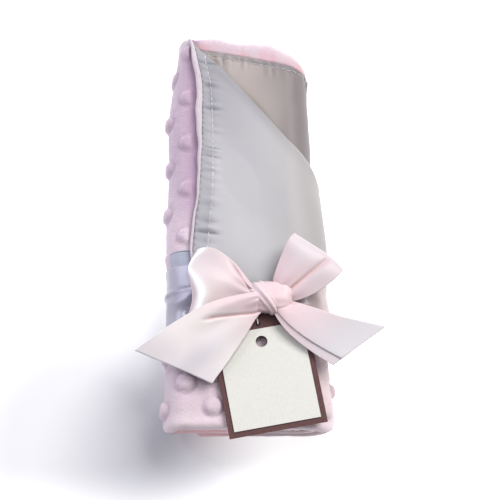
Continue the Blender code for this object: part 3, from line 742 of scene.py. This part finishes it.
def label_face(outward):
    """A face of the label, at its distance from the middle of the fold, rolled with the plush."""
    x, z = rolled(u - hem_drift(y), outward)
    return pressed(x, y, z)


label_low = label_face(PLY + LABEL_LOOSE + ripple)
label_high = label_face(PLY + LABEL_LOOSE + ripple + LABEL)
label = closed_sheet("label_cloth", skewed(label_low), skewed(label_high), np.stack([u, y], -1))

label_material, tree, shader = new_material("silver blue label satin")
place = cloth_place(tree)
fine, broad = placed_fibres(tree, place, 1500.0, 60.0)
along_y = {"bands_direction": "Y"}
rib = add_node(tree, "ShaderNodeTexWave", along_y, Vector=place, Scale=700.0, Distortion=0.6)
colour = spread_colour(tree, broad, 0.3, 0.7, (0.26, 0.275, 0.35), (0.33, 0.35, 0.43))
# A dark line along the top edge of the label.
dark_top_edge = eased(tree, split(tree, place)[1], LABEL_TOP - 0.8 * MM, LABEL_TOP - 0.4 * MM)
colour = tinted(tree, colour, [(dark_top_edge, (0.1, 0.11, 0.14))])
height = worked(tree, "ADD", fine, rib.outputs[1])
feed(tree, shader, Base_Color=colour, Normal=bumped(tree, height, 0.05 * MM))
feed(tree, shader, Roughness=0.4, Specular_IOR_Level=0.6, Sheen_Weight=0.2)
dressed(label, label_material, "woven_label")
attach(label, "bundle")

# The ribbon round the roll.
# Pale pink satin ribbon, 38 mm wide, pulled tight round the roll under the bow. Its ring is found
# by measuring how far the rolled cloths and the label reach in each direction.
RIBBON = 0.3 * MM
RIBBON_LOOSE = 0.35 * MM
BAND_DIRECTIONS = 168
BAND_ROWS = 45
RIDGE = 1.2 * MM  # a fold of the ribbon on the left
FLOOR_GAP = 0.1 * MM


def band_ring(turn, reach):
    """(x, z) corners of the polygon whose sides face the given ways at the given distances."""
    after, wider = np.roll(turn, -1), np.roll(reach, -1, axis=-1)
    bend = np.sin(after - turn)
    x = (reach * np.sin(after) - wider * np.sin(turn)) / bend
    z = (wider * np.cos(turn) - reach * np.cos(after)) / bend
    return x, z


turn = np.linspace(-math.pi / 2, 1.5 * math.pi, BAND_DIRECTIONS, endpoint=False)
facing = np.stack([np.cos(turn), np.sin(turn)])
wound = np.concatenate([a.reshape(-1, 3) for a in (plush_over, plush_under, satin_low, label_high)])
rows = np.linspace(BAND_LOW, BAND_HIGH, BAND_ROWS)
reach = np.array(
    [(wound[np.abs(wound[:, 1] - y) < 1.6 * MM][:, [0, 2]] @ facing).max(0) for y in rows]
)
padded = np.pad(reach, ((3, 3), (0, 0)), mode="edge")
reach = np.array([padded[k : k + 7].mean(0) for k in range(len(rows))]) + RIBBON_LOOSE
reach = sum(np.roll(reach, step, axis=1) for step in range(-3, 4)) / 7
across = (rows - BAND)[:, None] / (RIBBON_WIDTH / 2)
on_left = bell(turn - math.pi * 0.93, 0.7)
ridge = RIDGE * bell(across - 0.25, 0.08) * on_left
folds = 0.16 * MM * np.sin(across * 9 + 3 * np.sin(turn)) * (1 - np.abs(across)) + ridge
folds = np.maximum(folds, 0)
x, z = band_ring(turn, reach + folds)
x_out, z_out = band_ring(turn, reach + folds + RIBBON)
z, z_out = np.maximum(z, RIBBON + FLOOR_GAP), np.maximum(z_out, FLOOR_GAP)
ys = np.repeat(rows[:, None], BAND_DIRECTIONS, 1)
middle = BAND_ROWS // 2
ahead_x, ahead_z = np.roll(x[middle], -1), np.roll(z[middle], -1)
around = np.cumsum(np.hypot(ahead_x - x[middle], ahead_z - z[middle]))
flat = np.stack([ys, np.repeat(around[None], len(rows), 0)], -1)
knot_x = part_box("ribbon_knot")[0][0] + 9 * MM
drawn = bell(x - knot_x, 17 * MM) * ease((z - 12 * MM) / (10 * MM))
ys = BAND + (ys - BAND) * (1 - 0.55 * drawn) - 2.5 * MM * drawn
ys = ys - 2.0 * MM * ease((-18 * MM - x) / (22 * MM))
band_in, band_out = skewed(np.stack([x, ys, z], -1)), skewed(np.stack([x_out, ys, z_out], -1))


def shell(name, points, flat, capped=True):
    """A skin from a grid that wraps round in its columns. It is capped at both ends, or else its
    last row is joined to its first, as in a sleeve of cloth."""
    rows, columns = points.shape[:2]
    at = np.arange(rows * columns).reshape(rows, columns)
    after = np.roll(at, -1, axis=1)
    low, high = (at[:-1], at[1:]) if capped else (at, np.roll(at, -1, axis=0))
    low_after, high_after = (after[:-1], after[1:]) if capped else (after, np.roll(after, -1, axis=0))
    faces = np.stack([low, low_after, high_after, high], -1).reshape(-1, 4).tolist()
    if capped:
        faces += [at[0, ::-1].tolist(), at[-1].tolist()]
    return new_piece(name, points, faces, flat)


skins = np.concatenate([band_out[::-1], band_in])
band = shell("ribbon_round_roll", skins, np.concatenate([flat[::-1], flat]), capped=False)

band_material, tree, shader = new_material("shaded satin ribbon")
fine, broad = placed_fibres(tree, cloth_place(tree), 2000.0, 30.0)
# Painted shade: the same pale pink ribbon as the bow, grey lilac on the left and warmer on the right.
cool = spread_colour(tree, broad, 0.25, 0.8, (0.235, 0.225, 0.29), (0.30, 0.285, 0.365))
right_side_painted_light = eased(tree, split(tree, object_place(tree))[0], -0.02, 0.03)
colour = tinted(tree, cool, [(right_side_painted_light, (0.40, 0.32, 0.32))])
feed(tree, shader, Base_Color=colour, Normal=bumped(tree, fine, 0.04 * MM))
feed(tree, shader, Roughness=0.27, Specular_IOR_Level=0.9, Sheen_Weight=0.25, Sheen_Roughness=0.4)
dressed(band, band_material, "ribbon_band")
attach(band, "bundle")

# The knot.
# The ribbon tied once over itself: a plump gathered bundle with a slanting turn round it. The bow
# and the knot share one satin, with painted gleams and painted fold shade from values on the points.
knot_low, knot_high = (np.array(corner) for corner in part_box("ribbon_knot"))
KNOT = (knot_low + knot_high) / 2
KNOT_SIZE = knot_high - knot_low
TURN_WAY = np.array([0.5, -0.866, 0.0])  # the way that the slanting turn runs
TURN_SIDE = np.array([0.866, 0.5, 0.0])
BUNDLE_SIZE = KNOT_SIZE * np.array([1.1, 1.2, 1.1])
BUNDLE_PLACE = KNOT + np.array([1, -0.9, 0]) * MM
TAG_EDGE = np.array([-2.4, -46.0]) * MM  # a point of the line about which the hang tag rises
TAG_WAY = np.array([0.182, -0.983])  # the way in which the tag hangs from that line


def knot_bundle():
    """The gathered ribbon inside the turn: a squared egg, pleated along x, its ends drawn in."""
    s = np.linspace(-0.985, 0.985, 49)[:, None]
    turn = np.linspace(0, 2 * math.pi, 72, endpoint=False)[None, :]
    size = (1 - np.abs(s) ** 4.5) ** 0.4
    pleat = 1 + 0.02 * np.cos(7 * turn + 2.2 * s) + 0.012 * np.cos(11 * turn - 3 * s)
    c, d = np.cos(turn), np.sin(turn)
    y = np.sign(c) * np.abs(c) ** 0.8 * size * pleat
    z = np.sign(d) * np.abs(d) ** 0.8 * size * pleat
    x = s + 0.10 * y
    points = np.stack([x, y * 0.92, z], -1) * BUNDLE_SIZE / 2 + BUNDLE_PLACE
    return points, np.stack(np.broadcast_arrays(x * 0.01, turn * 0.006), -1)


def knot_turn():
    """The slanting turn: a flat ring over and under the bundle, creased along its run."""
    turn = np.linspace(0, 2 * math.pi, 97)[:, None]
    ring = np.linspace(0, 2 * math.pi, 64, endpoint=False)[None, :]
    w, up = np.cos(ring), np.sin(ring)
    wide = 4.4 * MM * (1 - 0.28 * np.cos(turn))
    crease = 0.4 * MM * np.cos(w * 8.2 + 0.5 * np.sin(turn)) * np.maximum(up, 0) ** 0.5
    thick = 1.5 * MM * up * (1 - 0.35 * w * w) + crease
    reach = 8.9 * MM * (1 - 0.12 * w * w) + thick
    height = 6.4 * MM * (1 - 0.18 * w * w) + thick
    shift = -3.6 * MM + 1.2 * MM * np.cos(turn)
    points = (
        KNOT
        + (np.cos(turn) * reach)[..., None] * TURN_WAY
        + (np.sin(turn) * height)[..., None] * np.array([0, 0, 1])
        + (w * wide + shift)[..., None] * TURN_SIDE
    )
    return points, np.stack(np.broadcast_arrays(turn * 0.008, w * 0.006), -1)


def over_tag(points):
    """The knot's points, with its underside kept clear of the hang tag that rises under it: the
    least height grows with the distance past the line about which the tag rises."""
    past = (points[..., :2] - TAG_EDGE) @ TAG_WAY + 0.8 * MM
    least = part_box("tag_backing_card")[1][2] + 0.25 * MM + 0.45 * past
    lifted = points.copy()
    lifted[..., 2] = np.where(past > 0, np.maximum(points[..., 2], least), points[..., 2])
    return lifted


bundle_points, bundle_flat = knot_bundle()
knot = shell("bow_knot", over_tag(bundle_points), bundle_flat)
turn_points, turn_flat = knot_turn()
knot_wrap = shell("bow_knot_turn", over_tag(turn_points[:-1]), turn_flat[:-1])

ribbon_material, tree, shader = new_material("pale pink satin ribbon")
place = cloth_place(tree)
fine, broad = placed_fibres(tree, place, 2000.0, 30.0)
right_side_painted_light = eased(tree, split(tree, object_place(tree))[0], -0.04, 0.035)
pink_shade_near_knot = eased(tree, split(tree, place)[0], 0.042, 0.004)
shade = kept_values(tree, "shade")
tints = (
    # painted shade, greyer on the right side
    (right_side_painted_light, (0.48, 0.46, 0.485)),
    # painted pink shade where the ribbon gathers into the knot, and on the knot
    (pink_shade_near_knot, (0.60, 0.46, 0.49)),
    # painted white gleams
    (eased(tree, shade, 0.0, 1.0), (0.84, 0.84, 0.95)),
    # painted pink shade in the folds
    (eased(tree, shade, 0.0, -1.0), (0.60, 0.41, 0.41)),
    # painted grey shade
    (kept_values(tree, "grey_shade"), (0.42, 0.40, 0.455)),
)
pale = spread_colour(tree, broad, 0.25, 0.8, (0.67, 0.62, 0.61), (0.73, 0.68, 0.67))
feed(tree, shader, Base_Color=tinted(tree, pale, tints), Normal=bumped(tree, fine, 0.04 * MM))
feed(tree, shader, Roughness=0.4, Specular_IOR_Level=0.3, Sheen_Weight=0.25, Sheen_Roughness=0.4)
for piece, node in ((knot, "ribbon_knot"), (knot_wrap, None)):
    dressed(piece, ribbon_material, node)
    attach(piece, "bundle")

# The loops of the bow.
# Each loop is one length of ribbon that leaves the knot, turns round and comes back under itself.
# It is gathered where it enters the knot, and its surface follows a net of points, which are
# given in ribbon widths from the knot: across the bow, along the roll and up.
LOOP_GRID = (113, 65)
EVEN = (0, 0.25, 0.5, 0.75, 1)


def blend_weights(count, samples):
    """A matrix that carries a smooth curve through count points, seen at even steps."""
    s = np.linspace(0, count - 1, samples)
    k = np.minimum(s.astype(int), count - 2)
    f = s - k
    weights = np.zeros((samples, count + 2))
    parts = (
        (-f + 2 * f**2 - f**3) / 2,
        (2 - 5 * f**2 + 3 * f**3) / 2,
        (f + 4 * f**2 - 3 * f**3) / 2,
        (-(f**2) + f**3) / 2,
    )
    for step, part in enumerate(parts):
        weights[np.arange(samples), k + step] = part
    weights[:, 1] += 2 * weights[:, 0]
    weights[:, 2] -= weights[:, 0]
    weights[:, -2] += 2 * weights[:, -1]
    weights[:, -3] -= weights[:, -1]
    return weights[:, 1:-1]


def ribbon_net(edge_shares, other_shares, grid, lift, bend=0.0, across=EVEN):
    """The smooth surface between two edges, on a grid of so many rows and columns. Lift adds
    heights in millimetres, one row per station and one column per place across the width, and
    bend moves the same points sideways."""
    edges = np.stack([np.array(edge_shares), np.array(other_shares)], 1) * RIBBON_WIDTH + KNOT
    share = np.array(across)[None, :, None]
    net = edges[:, :1] * (1 - share) + edges[:, 1:] * share
    net[..., 0] += bend
    net[..., 2] += np.array(lift) * MM
    ahead, aside = blend_weights(len(net), grid[0]), blend_weights(len(across), grid[1])
    return np.einsum("rk,kcx,sc->rsx", ahead, net, aside)


def shares(points):
    """The share of the ribbon's length at each row, and of its width at each column."""
    rows, columns = points.shape[:2]
    return np.linspace(0, 1, rows)[:, None], np.linspace(0, 1, columns)[None, :]


def gathered(points, reach, depth, under_depth=0.0):
    """Pleats where the ribbon enters the knot: waves across it that fade over the given share of
    its length, at its start and, for a loop, at its end, where the under layer comes back."""
    s, c = shares(points)
    near = depth * (1 - ease(s / reach)) + under_depth * (1 - ease((1 - s) / reach))
    wave = np.cos(2 * math.pi * (3.5 * c + 0.1)) * np.sin(math.pi * c) ** 0.3
    lifted = points.copy()
    lifted[..., 2] += near * wave
    return lifted


def creased(points, path, depth):
    """A valley along a path over the ribbon, which fades out at both ends. The path is a list of
    places: the share of the length, then the share of the width. Also gives the valley's mask."""
    s, c = shares(points)
    at, middle = np.array(path).T
    mask = bell(c - np.interp(s, at, middle), 0.055)
    mask = mask * ease((s - at[0]) / 0.05) * ease((at[-1] - s) / 0.08)
    sunk = points.copy()
    sunk[..., 2] -= depth * mask
    return sunk, mask


def ribbon_piece(name, node, points, sheen, grey_shade):
    """A ribbon of even thickness on a grid of points, with its own flat measure as UV. The sheen is
    painted light: above 0 a painted white gleam, below 0 a painted pink shade in a fold. The last
    values are the share of a painted grey shade."""
    ahead, aside = np.gradient(points, axis=0), np.gradient(points, axis=1)
    normal = np.cross(ahead, aside)
    normal /= np.linalg.norm(normal, axis=-1, keepdims=True)
    steps = np.linalg.norm(np.diff(points, axis=0), axis=-1).mean(1)
    run = np.concatenate([[0], np.cumsum(steps)])
    width = np.linspace(0, RIBBON_WIDTH, points.shape[1])
    flat = np.stack(np.broadcast_arrays(run[:, None], width[None, :]), -1)
    half_thick = normal * RIBBON / 2
    made = closed_sheet(name, points + half_thick, points - half_thick, flat)
    for title, values in (("shade", sheen), ("grey_shade", grey_shade)):
        keep_values(made, title, np.stack([np.broadcast_to(values, points.shape[:2])] * 2))
    dressed(made, ribbon_material, node)
    return made, float(run[-1])


def bow_loop(name, node, points, sheen, grey_shade):
    """A loop as a piece of the roll."""
    loop, length = ribbon_piece(name, node, points, sheen, grey_shade)
    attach(loop, "bundle")


LEFT_LOOP_UPPER = (
    (-0.14, 0.05, 0.03),
    (-0.28, 0.15, 0.12),
    (-0.50, 0.40, 0.23),
    (-0.76, 0.58, 0.28),
    (-0.96, 0.62, 0.20),
    (-1.02, 0.61, 0.05),
    (-0.88, 0.55, -0.06),
    (-0.58, 0.34, -0.08),
    (-0.28, 0.10, -0.04),
    (-0.14, 0.03, -0.02),
)
LEFT_LOOP_LOWER = (
    (-0.14, -0.06, 0.03),
    (-0.30, -0.12, 0.04),
    (-0.55, -0.24, 0.06),
    (-0.80, -0.30, 0.10),
    (-1.02, -0.31, 0.12),
    (-1.12, -0.29, 0.04),
    (-0.98, -0.27, -0.07),
    (-0.64, -0.21, -0.09),
    (-0.30, -0.11, -0.05),
    (-0.14, -0.06, -0.02),
)
LEFT_LOOP_LIFT = (
    (0, 0, 0, 0, 0),
    (0, 1.4, 0.9, 1.2, 0),
    (0, 1.6, 2.6, 1.4, 0),
    (0, 0.2, 2.8, 2.4, 0),
    (0, -1.4, 1.4, 2.4, 0),
    (0, 0, 0, 0, 0),
    (0, -0.6, 0, -0.6, 0),
    (0, -0.8, 0, -0.6, 0),
    (0, -0.6, 0.2, -0.6, 0),
    (0, 0, 0, 0, 0),
)
LEFT_LOOP_BEND = (0, 0, 0, 0.3, 1, 1, 0.5, 0, 0, 0)
LEFT_LOOP_CREST = (0, -0.085, -0.03, 0.02, 0)
LEFT_LOOP_CREASE = ((0.03, 0.55), (0.12, 0.34), (0.19, 0.17), (0.27, 0.03))
# The white gleam winds over the loop: shares of the width, and of the length at each of them.
LEFT_GLEAM_ACROSS = (0, 0.05, 0.15, 0.26, 0.42, 0.6, 0.7, 0.82, 0.94, 1)
LEFT_GLEAM_ALONG = (0.42, 0.435, 0.49, 0.50, 0.455, 0.42, 0.415, 0.43, 0.44, 0.445)
bend = np.outer(LEFT_LOOP_BEND, LEFT_LOOP_CREST) * RIBBON_WIDTH
points = ribbon_net(LEFT_LOOP_UPPER, LEFT_LOOP_LOWER, LOOP_GRID, LEFT_LOOP_LIFT, bend)
points = gathered(points, 0.3, 0.6 * MM, 3.4 * MM)
points, fold = creased(points, LEFT_LOOP_CREASE, 1.1 * MM)
# Painted light on the loop: a white gleam that winds over it; painted pink shade in its crease, on the
# part that turns away on the left, under the gleam and faintly all over; and painted grey shade away
# from the gleam.
s, c = shares(points)
gleam = np.interp(c, LEFT_GLEAM_ACROSS, LEFT_GLEAM_ALONG)
gleams = bell(s - gleam, 0.034)
turned_away = ease((s - gleam - 0.035) / 0.035) * ease((c - 0.25) / 0.15)
under_gleam = bell(s - gleam + 0.11, 0.05) * bell(c - 0.85, 0.25)
sheen = gleams * 1.3 - 0.3 - 0.5 * fold - 0.6 * turned_away - 0.3 * under_gleam
grey_shade = np.maximum(0.22 * (1 - gleams), 0.5 * turned_away)
bow_loop("bow_left_loop", "bow_loop_left", points, sheen, grey_shade)

RIGHT_LOOP_UPPER = (
    (0.06, 0.05, -0.02),
    (0.03, 0.20, 0.09),
    (0.13, 0.49, 0.20),
    (0.24, 0.72, 0.28),
    (0.32, 0.84, 0.20),
    (0.31, 0.84, 0.06),
    (0.22, 0.72, -0.05),
    (0.10, 0.49, -0.06),
    (0.03, 0.19, -0.03),
    (0.06, 0.05, -0.04),
)
RIGHT_LOOP_LOWER = (
    (0.16, -0.04, -0.02),
    (0.30, -0.09, 0.04),
    (0.56, -0.03, 0.13),
    (0.82, 0.13, 0.19),
    (0.97, 0.28, 0.18),
    (0.98, 0.34, 0.06),
    (0.78, 0.28, -0.05),
    (0.50, 0.12, -0.08),
    (0.26, 0.0, -0.05),
    (0.16, -0.02, -0.04),
)
RIGHT_LOOP_ACROSS = (0, 0.28, 0.5, 0.63, 0.78, 1)
RIGHT_LOOP_LIFT = (
    (0, 0, 0, 0, 0, 0),
    (0, 1.4, 1.0, 0.5, 0.6, 0),
    (0, 1.4, 1.2, 0.7, 0.7, 0),
    (0, 1.0, 1.0, 0.4, 1.0, 0),
    (0, 0.7, 0.7, 0.4, 0.5, 0),
    (0, 0, 0, 0, 0, 0),
    (0, -0.6, -0.8, -0.8, -0.6, 0),
    (0, -0.8, -1.0, -1.0, -0.6, 0),
    (0, -0.6, 0.2, 0.2, -0.6, 0),
    (0, 0, 0, 0, 0, 0),
)
RIGHT_LOOP_BEND = (0, 0, 0, 0.5, 1, 1, 0.5, 0, 0, 0)
RIGHT_LOOP_CREST = (0, 0.03, 0.06, 0.06, 0.05, 0)
RIGHT_LOOP_CREASE = ((0.03, 0.55), (0.15, 0.6), (0.3, 0.62), (0.46, 0.63))
bend = np.outer(RIGHT_LOOP_BEND, RIGHT_LOOP_CREST) * RIBBON_WIDTH
points = ribbon_net(
    RIGHT_LOOP_UPPER, RIGHT_LOOP_LOWER, LOOP_GRID, RIGHT_LOOP_LIFT, bend, RIGHT_LOOP_ACROSS
)
points = gathered(points, 0.3, 0.5 * MM, 4.6 * MM)
points, fold = creased(points, RIGHT_LOOP_CREASE, 1.0 * MM)
# Painted light on the loop: gleams on its upper part and on its lower strip near the knot; painted
# pink shade all over and in its crease; and painted grey shade away from the knot.
s, c = shares(points)
gleam = 0.4 * bell(c - 0.2, 0.17) * bell(s - 0.26, 0.12)
gleam = gleam + 0.3 * ease((c - 0.66) / 0.1) * ease((0.4 - s) / 0.2) - 0.35
fold_shade = 0.15 * ease((c - 0.5) / 0.15) * ease((0.2 - s) / 0.15) + 0.45 * fold
grey_shade = 0.25 * ease((s - 0.2) / 0.2)
bow_loop("bow_right_loop", "bow_loop_right", points, gleam - fold_shade, grey_shade)

# The tails of the bow.
# Each spreads from the knot over the hang tag and droops past the side of the roll. Its end is
# cut on the slant.
TAIL_GRID = (97, 97)
LEFT_TAIL_UPPER = (
    (-0.10, 0.0, 0.05),
    (-0.24, -0.01, 0.17),
    (-0.63, -0.10, 0.20),
    (-0.96, -0.22, 0.18),
    (-1.41, -0.46, 0.05),
    (-1.86, -0.75, -0.12),
)
LEFT_TAIL_LOWER = (
    (-0.06, -0.12, 0.02),
    (-0.12, -0.23, 0.04),
    (-0.22, -0.36, 0.02),
    (-0.34, -0.56, 0.0),
    (-0.58, -0.93, -0.01),
    (-0.80, -1.24, -0.04),
)
LEFT_TAIL_LIFT = (
    (0, 1.0, 1.0, 0.6, 0),
    (0, 2.2, 2.2, 0.6, 0),
    (0, 2.6, 2.2, 0.6, 0.2),
    (0, 2.0, 0.8, 1.8, 0.2),
    (0, 1.2, 1.2, 1.5, 0),
    (0, 0.3, 1.2, 0.9, 0),
)
LEFT_TAIL_CREASE = (
    (0.12, 0.95),
    (0.22, 0.93),
    (0.33, 0.84),
    (0.5, 0.57),
    (0.62, 0.34),
    (0.7, 0.25),
)
RIGHT_TAIL_UPPER = (
    (0.10, -0.02, 0.04),
    (0.27, -0.10, 0.09),
    (0.62, -0.21, 0.09),
    (0.95, -0.31, 0.05),
    (1.26, -0.37, 0.0),
    (1.57, -0.43, -0.05),
)
RIGHT_TAIL_LOWER = (
    (0.02, -0.14, 0.01),
    (0.05, -0.28, 0.03),
    (0.19, -0.49, 0.01),
    (0.38, -0.67, -0.01),
    (0.60, -0.83, -0.03),
    (0.84, -0.98, -0.05),
)
RIGHT_TAIL_ACROSS = (0, 0.3, 0.58, 0.80, 0.83, 0.72, 0.67, 0.75, 0.88, 1)
RIGHT_TAIL_LIFT = (
    (0, 0.8, 1.2, 1.2, 0.9, 0.6, 0.4, 0.3, 0.3, 0.2),
    (0, 1.0, 1.5, 1.5, 1.2, 0.8, 0.6, 0.5, 0.5, 0.3),
    (0, 0.8, 1.4, 1.5, 1.2, 0.8, 0.6, 0.6, 0.5, 0.4),
    (0, 0.6, 1.2, 1.4, 1.1, 0.7, 0.5, 0.5, 0.4, 0.3),
    (0, 0.5, 1.0, 1.3, 1.0, 0.6, 0.4, 0.4, 0.3, 0.2),
    (0, 0.4, 0.8, 1.2, 0.9, 0.5, 0.3, 0.3, 0.2, 0.1),
)
RIGHT_TAIL_CREASE = ((0.03, 0.2), (0.12, 0.14), (0.2, 0.08), (0.28, 0.02))


def tail_points(upper, lower, lift, across, path):
    """A tail's surface between its two edges, with its pleats and its crease, and the crease."""
    points = ribbon_net(upper, lower, TAIL_GRID, lift, across=across)
    return creased(gathered(points, 0.4, 0.5 * MM), path, 1.1 * MM)


def bow_tail(name, node, points, sheen, grey_shade):
    """A tail as a piece, with its place baked into its points."""
    tail, length = ribbon_piece(name, node, points, sheen, grey_shade)
    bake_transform(tail)


points, fold = tail_points(
    LEFT_TAIL_UPPER, LEFT_TAIL_LOWER, LEFT_TAIL_LIFT, EVEN, LEFT_TAIL_CREASE
)
# Painted pink shade in the tail's crease, and painted grey shade towards its drooping end.
s, c = shares(points)
grey_shade = 0.6 * ease((s - 0.5) / 0.4) * bell(c - 0.66, 0.22)
grey_shade = np.maximum(grey_shade, 0.4 * ease((s - 0.78) / 0.2))
bow_tail("bow_left_tail", "bow_tail_left", points, -0.8 * fold, grey_shade)

points, fold = tail_points(
    RIGHT_TAIL_UPPER, RIGHT_TAIL_LOWER, RIGHT_TAIL_LIFT, RIGHT_TAIL_ACROSS, RIGHT_TAIL_CREASE
)
# Painted pink shade in the tail's crease and on its lower strip, in the fold, and painted grey shade
# on that strip.
s, c = shares(points)
sheen = -0.8 * fold - 0.35 * ease((c - 0.4) / 0.12)
bow_tail("bow_right_tail", "bow_tail_right", points, sheen, 0.25 * ease((c - 0.5) / 0.2))

# The hang tag and its fastener.
# Two stiff cards, a cream one glued on a brown one, with a punched hole through both. They keep
# their CAD shape. A loop of clear filament holds them to the knot.
for node, dark, light in (
    ("tag_backing_card", (0.072, 0.031, 0.031), (0.103, 0.048, 0.047)),
    ("tag_front_card", (0.53, 0.525, 0.49), (0.58, 0.575, 0.54)),
):
    finish, tree, shader = new_material("paper of " + node)
    fine, _ = placed_fibres(tree, object_place(tree), 1200.0, 90.0)
    colour = spread_colour(tree, fine, 0.3, 0.7, dark, light)
    feed(tree, shader, Base_Color=colour, Normal=bumped(tree, fine, 0.05 * MM))
    feed(tree, shader, Roughness=0.75, Specular_IOR_Level=0.3)
    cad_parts[node].material_slots[0].material = finish

clear_dark, clear_light = (0.88, 0.89, 0.92), (0.96, 0.97, 1.0)
looks = {"Roughness": 0.25, "Transmission_Weight": 0.15}
finish = plain_material("clear filament", 900, 200, clear_dark, clear_light, 0.02 * MM, **looks)
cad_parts["tag_fastener"].material_slots[0].material = finish

# The studio.
# A pale floor that glows like a light table, soft lights from the open end on the right and from
# above, two weak cool ones from the left, and a long lens above the foot. To the lower left of the
# foot, where the roll's shadow falls, the floor carries a painted shadow: its glow fades there and
# its colour is painted greyer.
FLOOR = 3.0
FLOOR_DROP = 0.4 * MM
SHADOW_MIDDLE = (-0.094, -0.108, 0)
SHADOW_DARKEST = (-0.06, -0.124, 0)
GLOW = (0.75, 0.75, 0.75, 1)


def distance(tree, place, middle):
    """How far a place is from a fixed one."""
    apart = {"operation": "DISTANCE"}
    return add_node(tree, "ShaderNodeVectorMath", apart, _0=place, _1=middle).outputs["Value"]


corners = np.array([(-FLOOR, -FLOOR, 0), (FLOOR, -FLOOR, 0), (FLOOR, FLOOR, 0), (-FLOOR, FLOOR, 0)])
floor = new_piece("floor", corners, [(0, 1, 2, 3)])
floor.location.z = -FLOOR_DROP
finish, tree, shader = new_material("pale floor")
place = object_place(tree)
_, broad = placed_fibres(tree, place, 40.0, 2.0)
colour = spread_colour(tree, broad, 0.3, 0.7, (0.59, 0.59, 0.60), (0.61, 0.61, 0.62))
# Painted shadow: the floor is greyer, and glows less, to the lower left of the foot.
shaded = eased(tree, distance(tree, place, SHADOW_DARKEST), 0.066, 0.01)
colour = tinted(tree, colour, [(shaded, (0.41, 0.41, 0.43))])
lit = eased(tree, distance(tree, place, SHADOW_MIDDLE), 0.035, 0.11)
past_foot = eased(tree, split(tree, place)[1], -0.118, -0.165)
glow = mixed(tree, past_foot, mixed(tree, lit, (0.07, 0.07, 0.09, 1), GLOW), GLOW)
feed(tree, shader, Base_Color=colour, Roughness=0.9, Specular_IOR_Level=0.1)
feed(tree, shader, Emission_Color=glow, Emission_Strength=1.0)
floor.data.materials.append(finish)


def soft_light(name, place, size, power, colour):
    """A square area light that faces the middle of the roll."""
    data = bpy.data.lights.new(name, "AREA")
    data.size, data.energy, data.color = size, power, colour
    made = bpy.data.objects.new(name, data)
    made.location = place
    made.rotation_mode = "QUATERNION"
    made.rotation_quaternion = made.location.to_track_quat("Z", "Y")
    bpy.context.scene.collection.objects.link(made)


soft_light("key light", (0.64, 0.5, 1.05), 0.8, 22, (1.0, 0.985, 0.97))
soft_light("sheen light", (-0.75, 0.3, 0.8), 0.2, 2.5, (0.92, 0.92, 1.0))
soft_light("top light", (0.0, 0.1, 1.9), 1.2, 10, (1.0, 1.0, 1.0))
soft_light("cool fill", (-1.0, 0.3, 0.35), 0.4, 3.2, (0.80, 0.80, 1.0))

world = bpy.data.worlds.new("studio")
world.use_nodes = True
feed(world.node_tree, world.node_tree.nodes["Background"], Color=(0.97, 0.97, 1.0, 1), Strength=0.25)
bpy.context.scene.world = world

VIEW_HEIGHT = math.radians(70)
VIEW_DISTANCE = 0.95
VIEW_TARGET = np.array([-0.0052, -0.005635, 0.018])
LENS = 126.65
data = bpy.data.cameras.new("camera")
data.lens = LENS
data.sensor_width = 36
data.clip_start = 0.05
data.clip_end = 20
camera = bpy.data.objects.new("camera", data)
back = np.array([0, -math.cos(VIEW_HEIGHT), math.sin(VIEW_HEIGHT)])
camera.location = VIEW_TARGET + back * VIEW_DISTANCE
camera.rotation_euler = (math.pi / 2 - VIEW_HEIGHT, 0, 0)
bpy.context.scene.collection.objects.link(camera)
bpy.context.scene.camera = camera

bpy.context.scene.view_settings.view_transform = "Standard"
